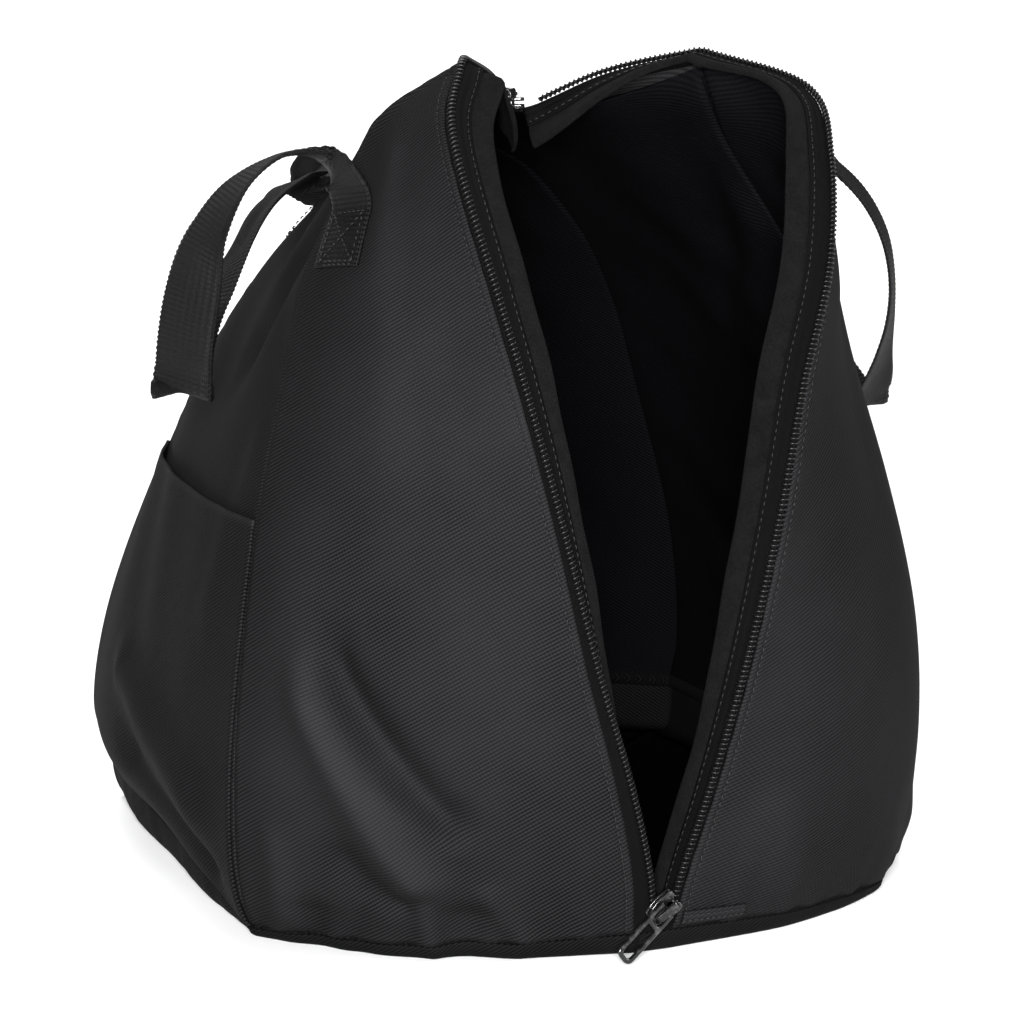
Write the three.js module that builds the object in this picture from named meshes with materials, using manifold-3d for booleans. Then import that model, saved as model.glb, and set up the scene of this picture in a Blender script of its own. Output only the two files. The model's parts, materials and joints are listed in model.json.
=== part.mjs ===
// A soft helmet bag in black polyester twill, standing open, with a long zip over its top,
// a padded base, a side pocket and two webbing handles. Millimetres, +Z up, front towards -Y,
// origin at the middle of the base, on the surface that the bag stands on.
import * as THREE from 'three';
import { mergeVertices } from 'three/addons/utils/BufferGeometryUtils.js';
import Module from 'manifold-3d';

const wasm = await Module();
wasm.setup();

// Size of the standing bag, without its handles
const HALF_WIDTH = 150;
const HALF_DEPTH = 170;
const HEIGHT = 340;

// Thickness of each cloth, and the space left between two layers
const CLOTH = 1.2;
const LINING = 1.3;
const BASE_WALL = 2.2;
const BASE_PAD = 1.5;
const GAP = 0.35;
const SEAM_GAP = 0.5;
// How far the edges of the lining stay back, and the most that a trim takes of the cell it cuts
const LINING_BACK = { mouth: 9, tail: 1.5, base: 1.5, crest: 0 };
const MOST_TRIM = .8;

// Zip: tape, coil and the fleece guard strip behind the coil
const TAPE = 0.8;
const TAPE_WIDTH = 10;
const TAPE_OFF = 0.3;
const COIL_RADIUS = 1.6;
const COIL_CURVE_SEGMENTS = 3;
const COIL_STEPS_BETWEEN = 3;
const GUARD = 1.6;
const GUARD_WIDTH = 17;
const CLOSED_ZIP = 1.2;
const CLOSED_ZIP_RIDGE = 1.2;
const CLOSED_COIL_HALF_WIDTH = 2.4;

// Zip sliders and their pulls
const SLIDER_LENGTH = 13;
const SLIDER_WIDTH = 9.4;
const SLIDER_THICKNESS = 4.2;
// Its outline, as shares of half its width and length: narrow end, straight side, wide end's lobe
const SLIDER_SHARES = { narrow: .62, side: .7, lobe: .55 };
const BAIL_WIDTH = 3;
const BAIL_LENGTH = 10.4;
const BAIL_WIRE = 1.3;
const EYE_CLEARANCE = 0.6;
const PULL_LENGTH = 27;
const PULL_WIDTH = 8.4;
const PULL_THICKNESS = 1.5;
const PULL_RAIL = 1.9;

// Handle webbing
const WEBBING_WIDTH = 25;
const WEBBING = 1.6;
// How far its flat sewn ends stay off the curved cloth
const WEBBING_OFF = { front: .7, rear: 2.1 };

// Straight pieces in each round stretch of a plate's outline
const PLATE_CURVE_SEGMENTS = 6;

// Grid of the cloth: steps between seams, and rows from the base seam to the crest
const FRONT_STEPS = 9;
const SIDE_STEPS = 8;
const REAR_STEPS = 5;
const ROW_STEPS = 16;
// The lining ends below the turned zip tape of the crest
const LINING_ROWS = ROW_STEPS - 1;
// Weight of a neighbour where the grid's normals are smoothed
const NEIGHBOUR = 0.35;
// Times that the directions along the mouth edge are evened out
const EVENINGS = 2;
// Along the mouth edge the zip's outer side faces up at least this much, so that the tape and the
// guard strip hang down inside the crest
const LOWEST_FACING = .1;

// One row for each height of the body, from the base seam up, for one half of the bag. Heights are
// shares of HEIGHT, x (outward) and crowns of HALF_WIDTH, y of HALF_DEPTH. The mouth edge differs
// from half to half, and show is the zip tape that shows beside the left mouth edge.
const BODY_COLUMNS = ['frontZ', 'seamZ', 'backZ', 'leftX', 'leftY', 'rightX', 'rightY', 'seamX',
  'seamY', 'sideX', 'sideY', 'backX', 'backY', 'tailY', 'leftCrown', 'rightCrown', 'rearCrown', 'show'];
const BODY = readRows(BODY_COLUMNS, [
  [.029, .015, .071, .070, -.965, .043, -.965, .940, -.506, .947, .106, .887, .712, .918, .113, .160, .120, .043],
  [.100, .088, .124, .083, -.982, .076, -.988, .980, -.518, 1.02, .106, .920, .729, .976, .127, .180, .133, .040],
  [.206, .206, .224, .133, -.994, .147, -1.01, .987, -.529, 1.01, .106, .900, .706, .988, .133, .180, .133, .033],
  [.347, .347, .335, .217, -.994, .230, -1.03, .960, -.524, .960, .100, .840, .665, .965, .120, .147, .120, .023],
  [.509, .503, .476, .288, -.953, .327, -1.01, .893, -.471, .863, .088, .727, .606, .906, .093, .100, .093, .016],
  [.647, .638, .606, .340, -.865, .427, -.929, .800, -.400, .742, .076, .613, .535, .829, .067, .073, .067, .016],
  [.771, .762, .712, .380, -.747, .547, -.824, .700, -.329, .607, .065, .473, .459, .741, .053, .053, .047, .016],
  [.882, .876, .806, .407, -.612, .627, -.665, .547, -.276, .400, .035, .280, .388, .659, .033, .033, .027, .016],
  [.948, .941, .842, .387, -.494, .647, -.494, .467, -.294, .233, .000, .160, .376, .618, .020, .020, .013, .016],
]);

// How far the side of the body swells between its seams, as a share of HALF_WIDTH
const SIDE_CROWN = .022;
// The front's crown near the mouth edge, as a share of its crown near the seam
const MOUTH_CROWN = .85;
// The rear zip keeps the two halves apart by this share of HALF_WIDTH
const TAIL_X = .044;

// The crest of each half, from the mouth edge over the peak to the rear: front edge, two stations
// of the front panel, peak at the front seam, three of the side panel with the top slider in the
// middle, rear seam, one of the rear panel, and the tail
const CREST_COLUMNS = ['x', 'y', 'z'];
const CREST = {
  left: readRows(CREST_COLUMNS, [
    [.313, -.394, .994],
    [.307, -.384, .996],
    [.300, -.375, .998],
    [.293, -.365, 1.00],
    [.147, -.212, .965],
    [.044, -.047, .915],
    [.044, .165, .906],
    [.044, .365, .891],
    [.044, .482, .878],
    [.044, .576, .865],
  ]),
  right: readRows(CREST_COLUMNS, [
    [.470, -.262, .978],
    [.464, -.259, .978],
    [.459, -.256, .978],
    [.453, -.253, .978],
    [.233, -.141, .953],
    [.044, -.047, .915],
    [.044, .165, .906],
    [.044, .365, .891],
    [.044, .482, .878],
    [.044, .576, .865],
  ]),
};

// Folds and dents, a row for each: stations run 0 to 9 round one half from the mouth edge (front
// seam 3, top slider 5, rear seam 7, tail 9), rows 0 to 9 from the base seam to the crest. Width and
// depth are shares of HALF_WIDTH, and a positive depth is a ridge.
const FOLD_COLUMNS = ['fromStation', 'fromRow', 'toStation', 'toRow', 'width', 'depth'];
const FOLDS = {
  left: readRows(FOLD_COLUMNS, [
    [2.32, 2.8, 1.57, 1.1, .080, .036],
    [2.10, 3.0, 1.30, 1.8, .070, -.036],
    [2.10, 1.3, 1.72, 0.8, .055, -.020],
    [2.40, 0.5, 2.45, 0.0, .065, -.018],
    [1.20, 0.5, 1.25, 0.0, .065, -.018],
    [2.55, 3.7, 2.70, 0.5, .150, .020],
    [3.40, 6.4, 4.40, 5.2, .085, -.034],
    [5.40, 2.1, 3.80, 1.5, .090, .030],
    [5.20, 1.2, 3.60, 0.6, .090, -.034],
    [7.70, 6.0, 8.20, 3.0, .140, -.026],
  ]),
  right: readRows(FOLD_COLUMNS, [
    [3.40, 6.3, 4.50, 5.0, .085, -.030],
    [5.60, 3.0, 4.40, 1.2, .120, -.024],
    [6.20, 2.6, 5.00, 0.8, .100, .022],
    [7.60, 6.0, 8.20, 3.0, .140, -.026],
    [2.50, 0.9, 2.85, 0.0, .100, .016],
  ]),
};
// Length of one station and one row of that net, as shares of HALF_WIDTH and HEIGHT
const STATION_LENGTH = .36;
const ROW_LENGTH = .125;

// Stations of the seams, the slider and the tail
const FRONT_SEAM = 3;
const TOP_SLIDER = 5;
const REAR_SEAM = 7;
const TAIL = 9;

// The guard strip and the free zip tape turn inwards at the mouth edge, less where it gapes wide
const GUARD_LEAN = { left: 28, right: 12 };
const WIDE_MOUTH = .3;

// Turned-up border of the base, from its seam down to the flat bottom: how far in from the seam as
// a share of HALF_WIDTH, how high as a share of the seam's height, and how much of the wall's
// thickness lies inwards and upwards of it
const BASE_COLUMNS = ['inset', 'height', 'inwards', 'upwards'];
const BASE_RINGS = readRows(BASE_COLUMNS, [
  [.000, 1.00, 1.0, 0.0],
  [.008, .450, .90, .45],
  [.030, .080, .55, .80],
  [.075, .000, .20, 1.0],
]);
// How far the base's pad stays inside its seam, as a share of HALF_WIDTH
const PAD_INSET = .10;
// Middle of the base's fan of faces, clear of the origin, as a share of HALF_DEPTH
const BASE_MIDDLE = .15;

// Side pocket: rows of the net that it covers, and how far its top edge stands off, as a share
const POCKET_ROWS = 7;
const POCKET_GAPE = .022;

// Webbing handles, a row for each section between the sewn ends: middle of the strap in shares of
// HALF_WIDTH (outward), HALF_DEPTH and HEIGHT, and the direction across the strap
const STRAP_COLUMNS = ['x', 'y', 'z', 'acrossX', 'acrossY', 'acrossZ'];
const STRAPS = {
  left: readRows(STRAP_COLUMNS, [
    [.647, -.341, .892, -.20, .95, -.20],
    [.773, -.365, .904, -.10, .96, -.22],
    [.880, -.365, .880, .10, .97, -.20],
    [.970, -.353, .822, .30, .94, -.12],
    [1.010, -.329, .746, .62, .78, -.03],
    [1.025, -.306, .680, .66, .75, .00],
    [1.025, -.292, .645, .68, .73, .00],
    [1.022, -.276, .630, .68, .73, .00],
    [1.016, -.259, .645, .68, .73, .00],
    [.965, -.215, .692, .50, .86, -.10],
    [.880, -.159, .732, .20, .95, -.18],
    [.780, -.076, .774, -.05, .97, -.22],
    [.680, .018, .806, -.20, .95, -.22],
    [.560, .141, .826, -.35, .93, -.20],
    [.467, .259, .830, -.45, .89, -.15],
  ]),
  right: readRows(STRAP_COLUMNS, [
    [.753, -.318, .868, .49, .86, .05],
    [.833, -.344, .838, .49, .86, .00],
    [.920, -.341, .797, .49, .86, .00],
    [.980, -.335, .747, .49, .86, .00],
    [1.003, -.329, .694, .49, .86, .00],
    [1.003, -.318, .647, .55, .82, .00],
    [.997, -.300, .612, .65, .75, .00],
    [.993, -.265, .572, .80, .58, .00],
    [.997, -.218, .546, .88, .47, .00],
    [1.003, -.171, .530, .90, .44, .00],
    [.993, -.124, .546, .90, .40, .05],
    [.963, -.041, .590, .75, .62, .00],
    [.900, .053, .629, .52, .80, -.08],
    [.787, .141, .694, .25, .92, -.15],
    [.653, .235, .756, -.05, .95, -.18],
    [.520, .318, .803, -.32, .92, -.16],
  ]),
};
// Rows of the net between which each strap end is sewn beside its seam
const SEWN_FROM = 6.1;
const SEWN_TO = 6.6;
const SEWN_SECTIONS = 4;
// Where the strap leaves its sewn end: along the seam and off the cloth, as shares of its width
const LIFT_OFF = readRows(['along', 'off'], [
  [.22, .10],
  [.38, .34],
]);
// Steps of the strap between two sections, and how far to both sides its direction is taken
const STRAP_STEPS_BETWEEN = 2;
const STRAP_LOOK = .1;

// Tab of folded cloth beside the foot of the zip: stations and rows of the net that it covers
const TAB_FROM = .03;
const TAB_TO = .52;
const TAB_LOW = .10;
const TAB_HIGH = .34;
const TAB_THICKNESS = 1.4;
const TAB_STEPS = 6;

// Where the bottom slider lies, as shares of HALF_WIDTH, HALF_DEPTH and HEIGHT, and how it leans
const BOTTOM_SLIDER_AT = { x: -.002, y: -.978, z: .061 };
const BOTTOM_SLIDER_ROLL = 54;
const BOTTOM_PULL_TILT = 12;
const TOP_PULL_TILT = 4;

// Finishes
const BLACK_TWILL = cloth('#2b2b2e', .82);
const BLACK_LINING = cloth('#121214', .9);
const FLEECE = cloth('#232224', 1);
const ZIP_TAPE = cloth('#1c1c1d', .9);
const NYLON = cloth('#3c3c3e', .45);
const WEB = cloth('#1b1b1d', .8);
const BLACK_METAL = new THREE.MeshStandardMaterial({ color: '#141416', roughness: .28, metalness: .8 });

function cloth(color, roughness) {
  return new THREE.MeshStandardMaterial({ color, roughness, metalness: 0 });
}

// A table as one object for each row, with the columns as its fields
function readRows(columns, rows) {
  return rows.map((row) => Object.fromEntries(columns.map((name, k) => [name, row[k]])));
}

// A smooth line through the points, at t from 0 to points.length - 1
function along(points, t) {
  const last = points.length - 1;
  const k = Math.min(Math.max(Math.floor(t), 0), last - 1);
  const f = t - k;
  const b = points[k];
  const c = points[k + 1];
  const a = k > 0 ? points[k - 1] : b.clone().multiplyScalar(2).sub(c);
  const d = k + 2 <= last ? points[k + 2] : c.clone().multiplyScalar(2).sub(b);
  const slope = c.clone().sub(a);
  const bend = a.clone().multiplyScalar(2).addScaledVector(b, -5).addScaledVector(c, 4).sub(d);
  const twist = b.clone().sub(c).multiplyScalar(3).add(d).sub(a);
  return b.clone().addScaledVector(slope, f / 2).addScaledVector(bend, f * f / 2)
    .addScaledVector(twist, f * f * f / 2);
}

function mix(a, b, t) {
  return a + (b - a) * t;
}

// A point a share of the way from one station to another, swelling outwards by a crown
function swelling(from, to, share, crown) {
  const out = new THREE.Vector2(to.y - from.y, from.x - to.x).normalize();
  return from.clone().lerp(to, share).addScaledVector(out, crown);
}

// The stations of one body row, from the mouth edge to the tail. Low rows climb fast behind the
// front seam, where the base's border shows most.
function bodyStations(row, side) {
  const plan = (x, y) => new THREE.Vector2(x * HALF_WIDTH, y * HALF_DEPTH);
  const edge = plan(row[`${side}X`], row[`${side}Y`]);
  const seam = plan(row.seamX, row.seamY);
  const middle = plan(row.sideX, row.sideY);
  const back = plan(row.backX, row.backY);
  const tail = plan(TAIL_X, row.tailY);
  const crown = row[`${side}Crown`] * HALF_WIDTH;
  const sideCrown = SIDE_CROWN * HALF_WIDTH;
  const stations = [
    edge, swelling(edge, seam, 1 / 3, crown * MOUTH_CROWN), swelling(edge, seam, 2 / 3, crown), seam,
    swelling(seam, middle, 1 / 2, sideCrown), middle, swelling(middle, back, 1 / 2, sideCrown), back,
    swelling(back, tail, 1 / 2, row.rearCrown * HALF_WIDTH), tail,
  ];
  return stations.map((p, k) => {
    const towardsSeam = Math.abs(p.x - edge.x) / (seam.x - edge.x);
    const towardsBack = Math.min((p.y - seam.y) / (back.y - seam.y), 1);
    const climb = row.backZ > row.seamZ ? Math.sqrt(towardsBack) : towardsBack;
    const height = k < FRONT_SEAM
      ? mix(row.frontZ, row.seamZ, towardsSeam)
      : mix(row.seamZ, row.backZ, climb);
    return new THREE.Vector3(p.x, p.y, height * HEIGHT);
  });
}

function share(row) {
  return new THREE.Vector3(row.x * HALF_WIDTH, row.y * HALF_DEPTH, row.z * HEIGHT);
}

const mirror = { left: -1, right: 1 };
const nets = {};
for (const side of ['left', 'right']) {
  nets[side] = [...BODY.map((row) => bodyStations(row, side)), CREST[side].map(share)];
}

// A point of the smooth bag, before folds: each panel is a surface of its own between its seams
function bagPoint(side, station, row) {
  const panels = [[0, FRONT_SEAM], [FRONT_SEAM, REAR_SEAM], [REAR_SEAM, TAIL]];
  const [from, to] = panels.find(([, end]) => station <= end);
  const line = [];
  for (let k = from; k <= to; k += 1) {
    line.push(along(nets[side].map((stations) => stations[k]), row));
  }
  const p = along(line, station - from);
  p.x *= mirror[side];
  return p;
}

// How far the folds lift or sink the cloth at one place of the net
function foldHeight(side, station, row) {
  let height = 0;
  for (const fold of FOLDS[side]) {
    const at = (s, r) => new THREE.Vector2(s * STATION_LENGTH * HALF_WIDTH, r * ROW_LENGTH * HEIGHT);
    const from = at(fold.fromStation, fold.fromRow);
    const run = at(fold.toStation, fold.toRow).sub(from);
    const reach = at(station, row).sub(from);
    const t = Math.min(Math.max(reach.dot(run) / run.lengthSq(), 0), 1);
    const distance = reach.addScaledVector(run, -t).length() / (fold.width * HALF_WIDTH);
    height += fold.depth * HALF_WIDTH * Math.exp(-distance * distance);
  }
  return height;
}

function evenStations() {
  const stations = [];
  for (let k = 0; k < FRONT_STEPS; k += 1) stations.push(FRONT_SEAM * k / FRONT_STEPS);
  for (let k = 0; k < SIDE_STEPS; k += 1) {
    stations.push(mix(FRONT_SEAM, REAR_SEAM, k / SIDE_STEPS));
  }
  for (let k = 0; k <= REAR_STEPS; k += 1) stations.push(mix(REAR_SEAM, TAIL, k / REAR_STEPS));
  return stations;
}

// Outward normals of a grid of points, shared by the panels that meet at a seam: a mean of the
// faces round each point by their area, smoothed once over its neighbours
function gridNormals(points, side) {
  const rows = points.length;
  const columns = points[0].length;
  const sums = points.map((line) => line.map(() => new THREE.Vector3()));
  const face = (corners) => {
    const [a, b, c] = corners.map(([j, i]) => points[j][i]);
    const area = b.clone().sub(a).cross(c.clone().sub(a)).multiplyScalar(mirror[side]);
    for (const [j, i] of corners) sums[j][i].add(area);
  };
  for (let j = 0; j < rows - 1; j += 1) {
    for (let i = 0; i < columns - 1; i += 1) {
      face([[j, i], [j, i + 1], [j + 1, i + 1]]);
      face([[j, i], [j + 1, i + 1], [j + 1, i]]);
    }
  }
  const normals = sums.map((line) => line.map((sum) => sum.normalize()));
  const near = (j, i) => [[j - 1, i], [j + 1, i], [j, i - 1], [j, i + 1]]
    .filter(([row, column]) => normals[row]?.[column]);
  return normals.map((line, j) => line.map((normal, i) => {
    const mean = normal.clone();
    for (const [row, column] of near(j, i)) mean.addScaledVector(normals[row][column], NEIGHBOUR);
    return mean.normalize();
  }));
}

const CREST_ROW = BODY.length;
const STATIONS = evenStations();
const FRONT_COLUMN = FRONT_STEPS;
const REAR_COLUMN = FRONT_STEPS + SIDE_STEPS;
const TAIL_COLUMN = STATIONS.length - 1;
// Columns on which the sewn ends of the handles lie, beside the seams
const FRONT_END = FRONT_COLUMN - 2;
const REAR_END = REAR_COLUMN + 1;
const SLIDER_COLUMN = STATIONS.indexOf(TOP_SLIDER);

// The outer face of one half of the bag as a grid of points with their normals
function halfGrid(side) {
  const heights = Array.from({ length: ROW_STEPS + 1 }, (_, j) => CREST_ROW * j / ROW_STEPS);
  const plain = heights.map((row) => STATIONS.map((station) => bagPoint(side, station, row)));
  const plainNormals = gridNormals(plain, side);
  const points = plain.map((line, j) => line.map((p, i) => p.clone()
    .addScaledVector(plainNormals[j][i], foldHeight(side, STATIONS[i], heights[j]))));
  return { side, heights, points, normals: gridNormals(points, side) };
}

// A closed body from its points and triangles, turned so that its faces point out
function solid(points, faces) {
  let volume = 0;
  for (const [a, b, c] of faces) {
    volume += points[a].dot(points[b].clone().cross(points[c]));
  }
  const turned = volume > 0 ? faces : faces.map(([a, b, c]) => [a, c, b]);
  const geometry = new THREE.BufferGeometry();
  const positions = points.flatMap((p) => p.toArray());
  geometry.setAttribute('position', new THREE.Float32BufferAttribute(positions, 3));
  geometry.setIndex(turned.flat());
  geometry.computeVertexNormals();
  return geometry;
}

// A wall between two sheets of points with the same rows and columns
function wall(front, back) {
  const rows = front.length;
  const columns = front[0].length;
  const at = (sheet, j, i) => (sheet * rows + j) * columns + i;
  const faces = [];
  const quad = (a, b, c, d) => faces.push([a, b, c], [a, c, d]);
  for (let j = 0; j < rows - 1; j += 1) {
    for (let i = 0; i < columns - 1; i += 1) {
      quad(at(0, j, i), at(0, j, i + 1), at(0, j + 1, i + 1), at(0, j + 1, i));
      quad(at(1, j, i), at(1, j + 1, i), at(1, j + 1, i + 1), at(1, j, i + 1));
    }
  }
  const top = rows - 1;
  const end = columns - 1;
  for (let i = 0; i < end; i += 1) {
    quad(at(0, 0, i + 1), at(0, 0, i), at(1, 0, i), at(1, 0, i + 1));
    quad(at(0, top, i), at(0, top, i + 1), at(1, top, i + 1), at(1, top, i));
  }
  for (let j = 0; j < top; j += 1) {
    quad(at(0, j, 0), at(0, j + 1, 0), at(1, j + 1, 0), at(1, j, 0));
    quad(at(0, j + 1, end), at(0, j, end), at(1, j, end), at(1, j + 1, end));
  }
  return solid([...front.flat(), ...back.flat()], faces);
}

// The same trim at all four edges of a panel
function allEdges(trim) {
  return { mouth: trim, tail: trim, base: trim, crest: trim };
}

// One panel of a half: columns from..to of the grid, cut back by a trim at each edge, as a wall
// from depth outer to depth inner below the outer face; rise lifts both faces off the grid
function panel(grid, from, to, topRow, outer, inner, trims, rise = () => 0) {
  const sheet = (depth) => {
    const lines = [];
    for (let j = 0; j <= topRow; j += 1) {
      const line = [];
      for (let i = from; i <= to; i += 1) {
        const p = grid.points[j][i].clone();
        const pull = (other, trim) => {
          const run = other.clone().sub(grid.points[j][i]);
          p.addScaledVector(run, Math.min(trim / run.length(), MOST_TRIM));
        };
        if (i === from) pull(grid.points[j][i + 1], trims.mouth);
        if (i === to) pull(grid.points[j][i - 1], trims.tail);
        if (j === 0) pull(grid.points[j + 1][i], trims.base);
        if (j === topRow && topRow === ROW_STEPS) pull(grid.points[j - 1][i], trims.crest);
        line.push(p.addScaledVector(grid.normals[j][i], rise(j, i) - depth));
      }
      lines.push(line);
    }
    return lines;
  };
  return wall(sheet(outer), sheet(inner));
}

// The mouth edge of a half, from the base seam up and over the crest to the top slider, with the
// direction out of the cloth into the opening at each point. The front panel's tip is passed by.
function mouthEdge(grid) {
  const places = [];
  for (let j = 0; j <= ROW_STEPS; j += 1) places.push([j, 0]);
  for (let i = FRONT_COLUMN; i <= SLIDER_COLUMN; i += 1) places.push([ROW_STEPS, i]);
  const last = places.length - 1;
  const frames = places.map(([j, i], k) => {
    const point = grid.points[j][i];
    const [jBefore, iBefore] = places[Math.max(k - 1, 0)];
    const [jAfter, iAfter] = places[Math.min(k + 1, last)];
    const run = grid.points[jAfter][iAfter].clone().sub(grid.points[jBefore][iBefore]).normalize();
    const inside = grid.points[Math.min(j, ROW_STEPS - 1)][Math.max(i, 1)];
    const normal = grid.normals[j][i].clone();
    normal.z = Math.max(normal.z, LOWEST_FACING);
    normal.addScaledVector(run, -normal.dot(run)).normalize();
    const out = run.clone().cross(normal);
    if (out.dot(point.clone().sub(inside)) < 0) out.negate();
    return { point, normal, out, show: tapeShow(grid, j, i) };
  });
  let smooth = frames;
  for (let k = 0; k < EVENINGS; k += 1) smooth = evened(smooth);
  return smooth;
}

// Edge frames with their directions evened out once along the run
function evened(frames) {
  const last = frames.length - 1;
  const mean = (name, k) => frames[k][name].clone().multiplyScalar(2)
    .add(frames[Math.max(k - 1, 0)][name]).add(frames[Math.min(k + 1, last)][name]).normalize();
  return frames.map((frame, k) => {
    const normal = mean('normal', k);
    const out = mean('out', k);
    out.addScaledVector(normal, -out.dot(normal)).normalize();
    return { ...frame, normal, out };
  });
}

// Width of zip tape that shows beside the mouth edge
function tapeShow(grid, j, i) {
  const plain = BODY[BODY.length - 1].show;
  if (grid.side === 'right' || i > 0) return plain * HALF_WIDTH;
  const row = Math.min(grid.heights[j], BODY.length - 1);
  const low = Math.min(Math.floor(row), BODY.length - 2);
  return mix(BODY[low].show, BODY[low + 1].show, row - low) * HALF_WIDTH;
}

// A shorter copy of a run of edge frames, cut at both ends
function cutRun(frames, fromStart, fromEnd) {
  const cut = (list, length) => {
    let left = length;
    let k = 0;
    while (k < list.length - 2 && left > list[k].point.distanceTo(list[k + 1].point)) {
      left -= list[k].point.distanceTo(list[k + 1].point);
      k += 1;
    }
    const a = list[k];
    const b = list[k + 1];
    const t = left / a.point.distanceTo(b.point);
    const first = {
      point: a.point.clone().lerp(b.point, t),
      normal: a.normal.clone().lerp(b.normal, t).normalize(),
      out: a.out.clone().lerp(b.out, t).normalize(),
      show: mix(a.show, b.show, t),
    };
    return [first, ...list.slice(k + 1)];
  };
  return cut(cut(frames, fromStart).reverse(), fromEnd).reverse();
}

// The bend of the zip tape under the coil: its place, the turned direction and the faces' normals
function bendOf(frame, side) {
  const depth = CLOTH + GAP + TAPE / 2;
  const bend = frame.point.clone().addScaledVector(frame.out, frame.show)
    .addScaledVector(frame.normal, -depth);
  const gape = Math.min(Math.abs(bend.x) / (WIDE_MOUTH * HALF_WIDTH), 1);
  const turn = THREE.MathUtils.degToRad(90 - GUARD_LEAN[side] * gape);
  const inwards = frame.out.clone().multiplyScalar(Math.cos(turn))
    .addScaledVector(frame.normal, -Math.sin(turn));
  const facing = frame.out.clone().multiplyScalar(Math.sin(turn))
    .addScaledVector(frame.normal, Math.cos(turn));
  const corner = facing.clone().add(frame.normal).normalize();
  const mitre = 1 / corner.dot(facing);
  return { depth, bend, inwards, facing, corner, mitre };
}

// Zip tape: from behind the cloth's edge, round the bend and down the inside of the mouth
function zipTape(edge, side) {
  const sheet = (lift) => edge.map((frame) => {
    const { depth, bend, inwards, facing, corner, mitre } = bendOf(frame, side);
    const root = frame.point.clone().addScaledVector(frame.out, TAPE_OFF)
      .addScaledVector(frame.normal, lift - depth);
    const fold = bend.clone().addScaledVector(corner, lift * mitre);
    const free = bend.clone().addScaledVector(inwards, TAPE_WIDTH).addScaledVector(facing, lift);
    return [root, fold, free];
  });
  return wall(sheet(TAPE / 2), sheet(-TAPE / 2));
}

// Fleece guard: a strip behind the turned tape, wider than it, along the inside of the mouth
function zipGuard(edge, side) {
  const back = TAPE / 2 + 2 * GAP;
  const sheet = (lift) => edge.map((frame) => {
    const { bend, inwards, facing } = bendOf(frame, side);
    const strip = (reach) => bend.clone().addScaledVector(inwards, reach).addScaledVector(facing, -lift);
    return [strip(back + GUARD / 2), strip(TAPE_WIDTH), strip(GUARD_WIDTH)];
  });
  return wall(sheet(back), sheet(back + GUARD));
}

// One half of the open coil, standing on the bend of the tape
function zipCoil(edge, side) {
  const centres = edge.map((frame) => {
    const { bend, corner, mitre } = bendOf(frame, side);
    return bend.clone().addScaledVector(corner, mitre * TAPE / 2 + 2 * GAP + COIL_RADIUS);
  });
  const section = new THREE.Shape();
  section.absarc(0, 0, COIL_RADIUS, 0, Math.PI * 2);
  return new THREE.ExtrudeGeometry(section, {
    steps: COIL_STEPS_BETWEEN * edge.length,
    curveSegments: COIL_CURVE_SEGMENTS,
    bevelEnabled: false,
    extrudePath: new THREE.CatmullRomCurve3(centres),
  });
}

// The closed zip from behind the top slider, over the ridge and down the rear
function rearZip(left, right) {
  const places = [];
  for (let i = SLIDER_COLUMN; i <= TAIL_COLUMN; i += 1) places.push([ROW_STEPS, i]);
  for (let j = ROW_STEPS - 1; j >= 0; j -= 1) places.push([j, TAIL_COLUMN]);
  const frames = places.map(([j, i]) => {
    const normal = left.normals[j][i].clone().add(right.normals[j][i]);
    normal.x = 0;
    return {
      point: left.points[j][i].clone().lerp(right.points[j][i], 1 / 2),
      normal: normal.normalize(),
      out: new THREE.Vector3(1, 0, 0),
      show: 0,
    };
  });
  const halfWidth = TAIL_X * HALF_WIDTH - CLOTH - SEAM_GAP;
  const half = CLOSED_COIL_HALF_WIDTH;
  const slope = CLOSED_ZIP_RIDGE / 2;
  const section = [
    [-halfWidth, 0], [-half - slope, 0], [-half, CLOSED_ZIP_RIDGE],
    [half, CLOSED_ZIP_RIDGE], [half + slope, 0], [halfWidth, 0],
  ];
  const run = cutRun(frames, SLIDER_LENGTH / 2 + SEAM_GAP, SEAM_GAP);
  const sheet = (liftOf) => run.map((frame) => section.map(([x, height]) => frame.point.clone()
    .addScaledVector(frame.out, x)
    .addScaledVector(frame.normal, liftOf(height))));
  return wall(sheet((height) => height), sheet(() => -CLOSED_ZIP));
}

// The loop of the base seam round both halves
function baseSeam(left, right) {
  return [...left.points[0], ...[...right.points[0]].reverse()];
}

// The loop moved inwards, level, by a distance
function insetLoop(loop, distance) {
  return loop.map((p, k) => {
    const before = loop[(k + loop.length - 1) % loop.length];
    const after = loop[(k + 1) % loop.length];
    const run = after.clone().sub(before).setZ(0).normalize();
    const inward = new THREE.Vector3(run.y, -run.x, 0);
    if (inward.dot(p) > 0) inward.negate();
    return p.clone().addScaledVector(inward, distance);
  });
}

// A dish from loops of points that share their count: outer loops from the rim down, then inner
// loops from the middle up to the rim, each side closed by a fan round a middle point
function dish(outer, inner, outerMiddle, innerMiddle) {
  const loops = [...outer.slice().reverse(), ...inner];
  const count = loops[0].length;
  const points = [...loops.flat(), outerMiddle, innerMiddle];
  const faces = [];
  for (let k = 0; k < count; k += 1) {
    const next = (k + 1) % count;
    for (let j = 0; j < loops.length - 1; j += 1) {
      const a = j * count;
      const b = a + count;
      faces.push([a + k, a + next, b + next], [a + k, b + next, b + k]);
    }
    const last = (loops.length - 1) * count;
    faces.push([next, k, points.length - 2]);
    faces.push([last + k, last + next, points.length - 1]);
  }
  return solid(points, faces);
}

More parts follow.
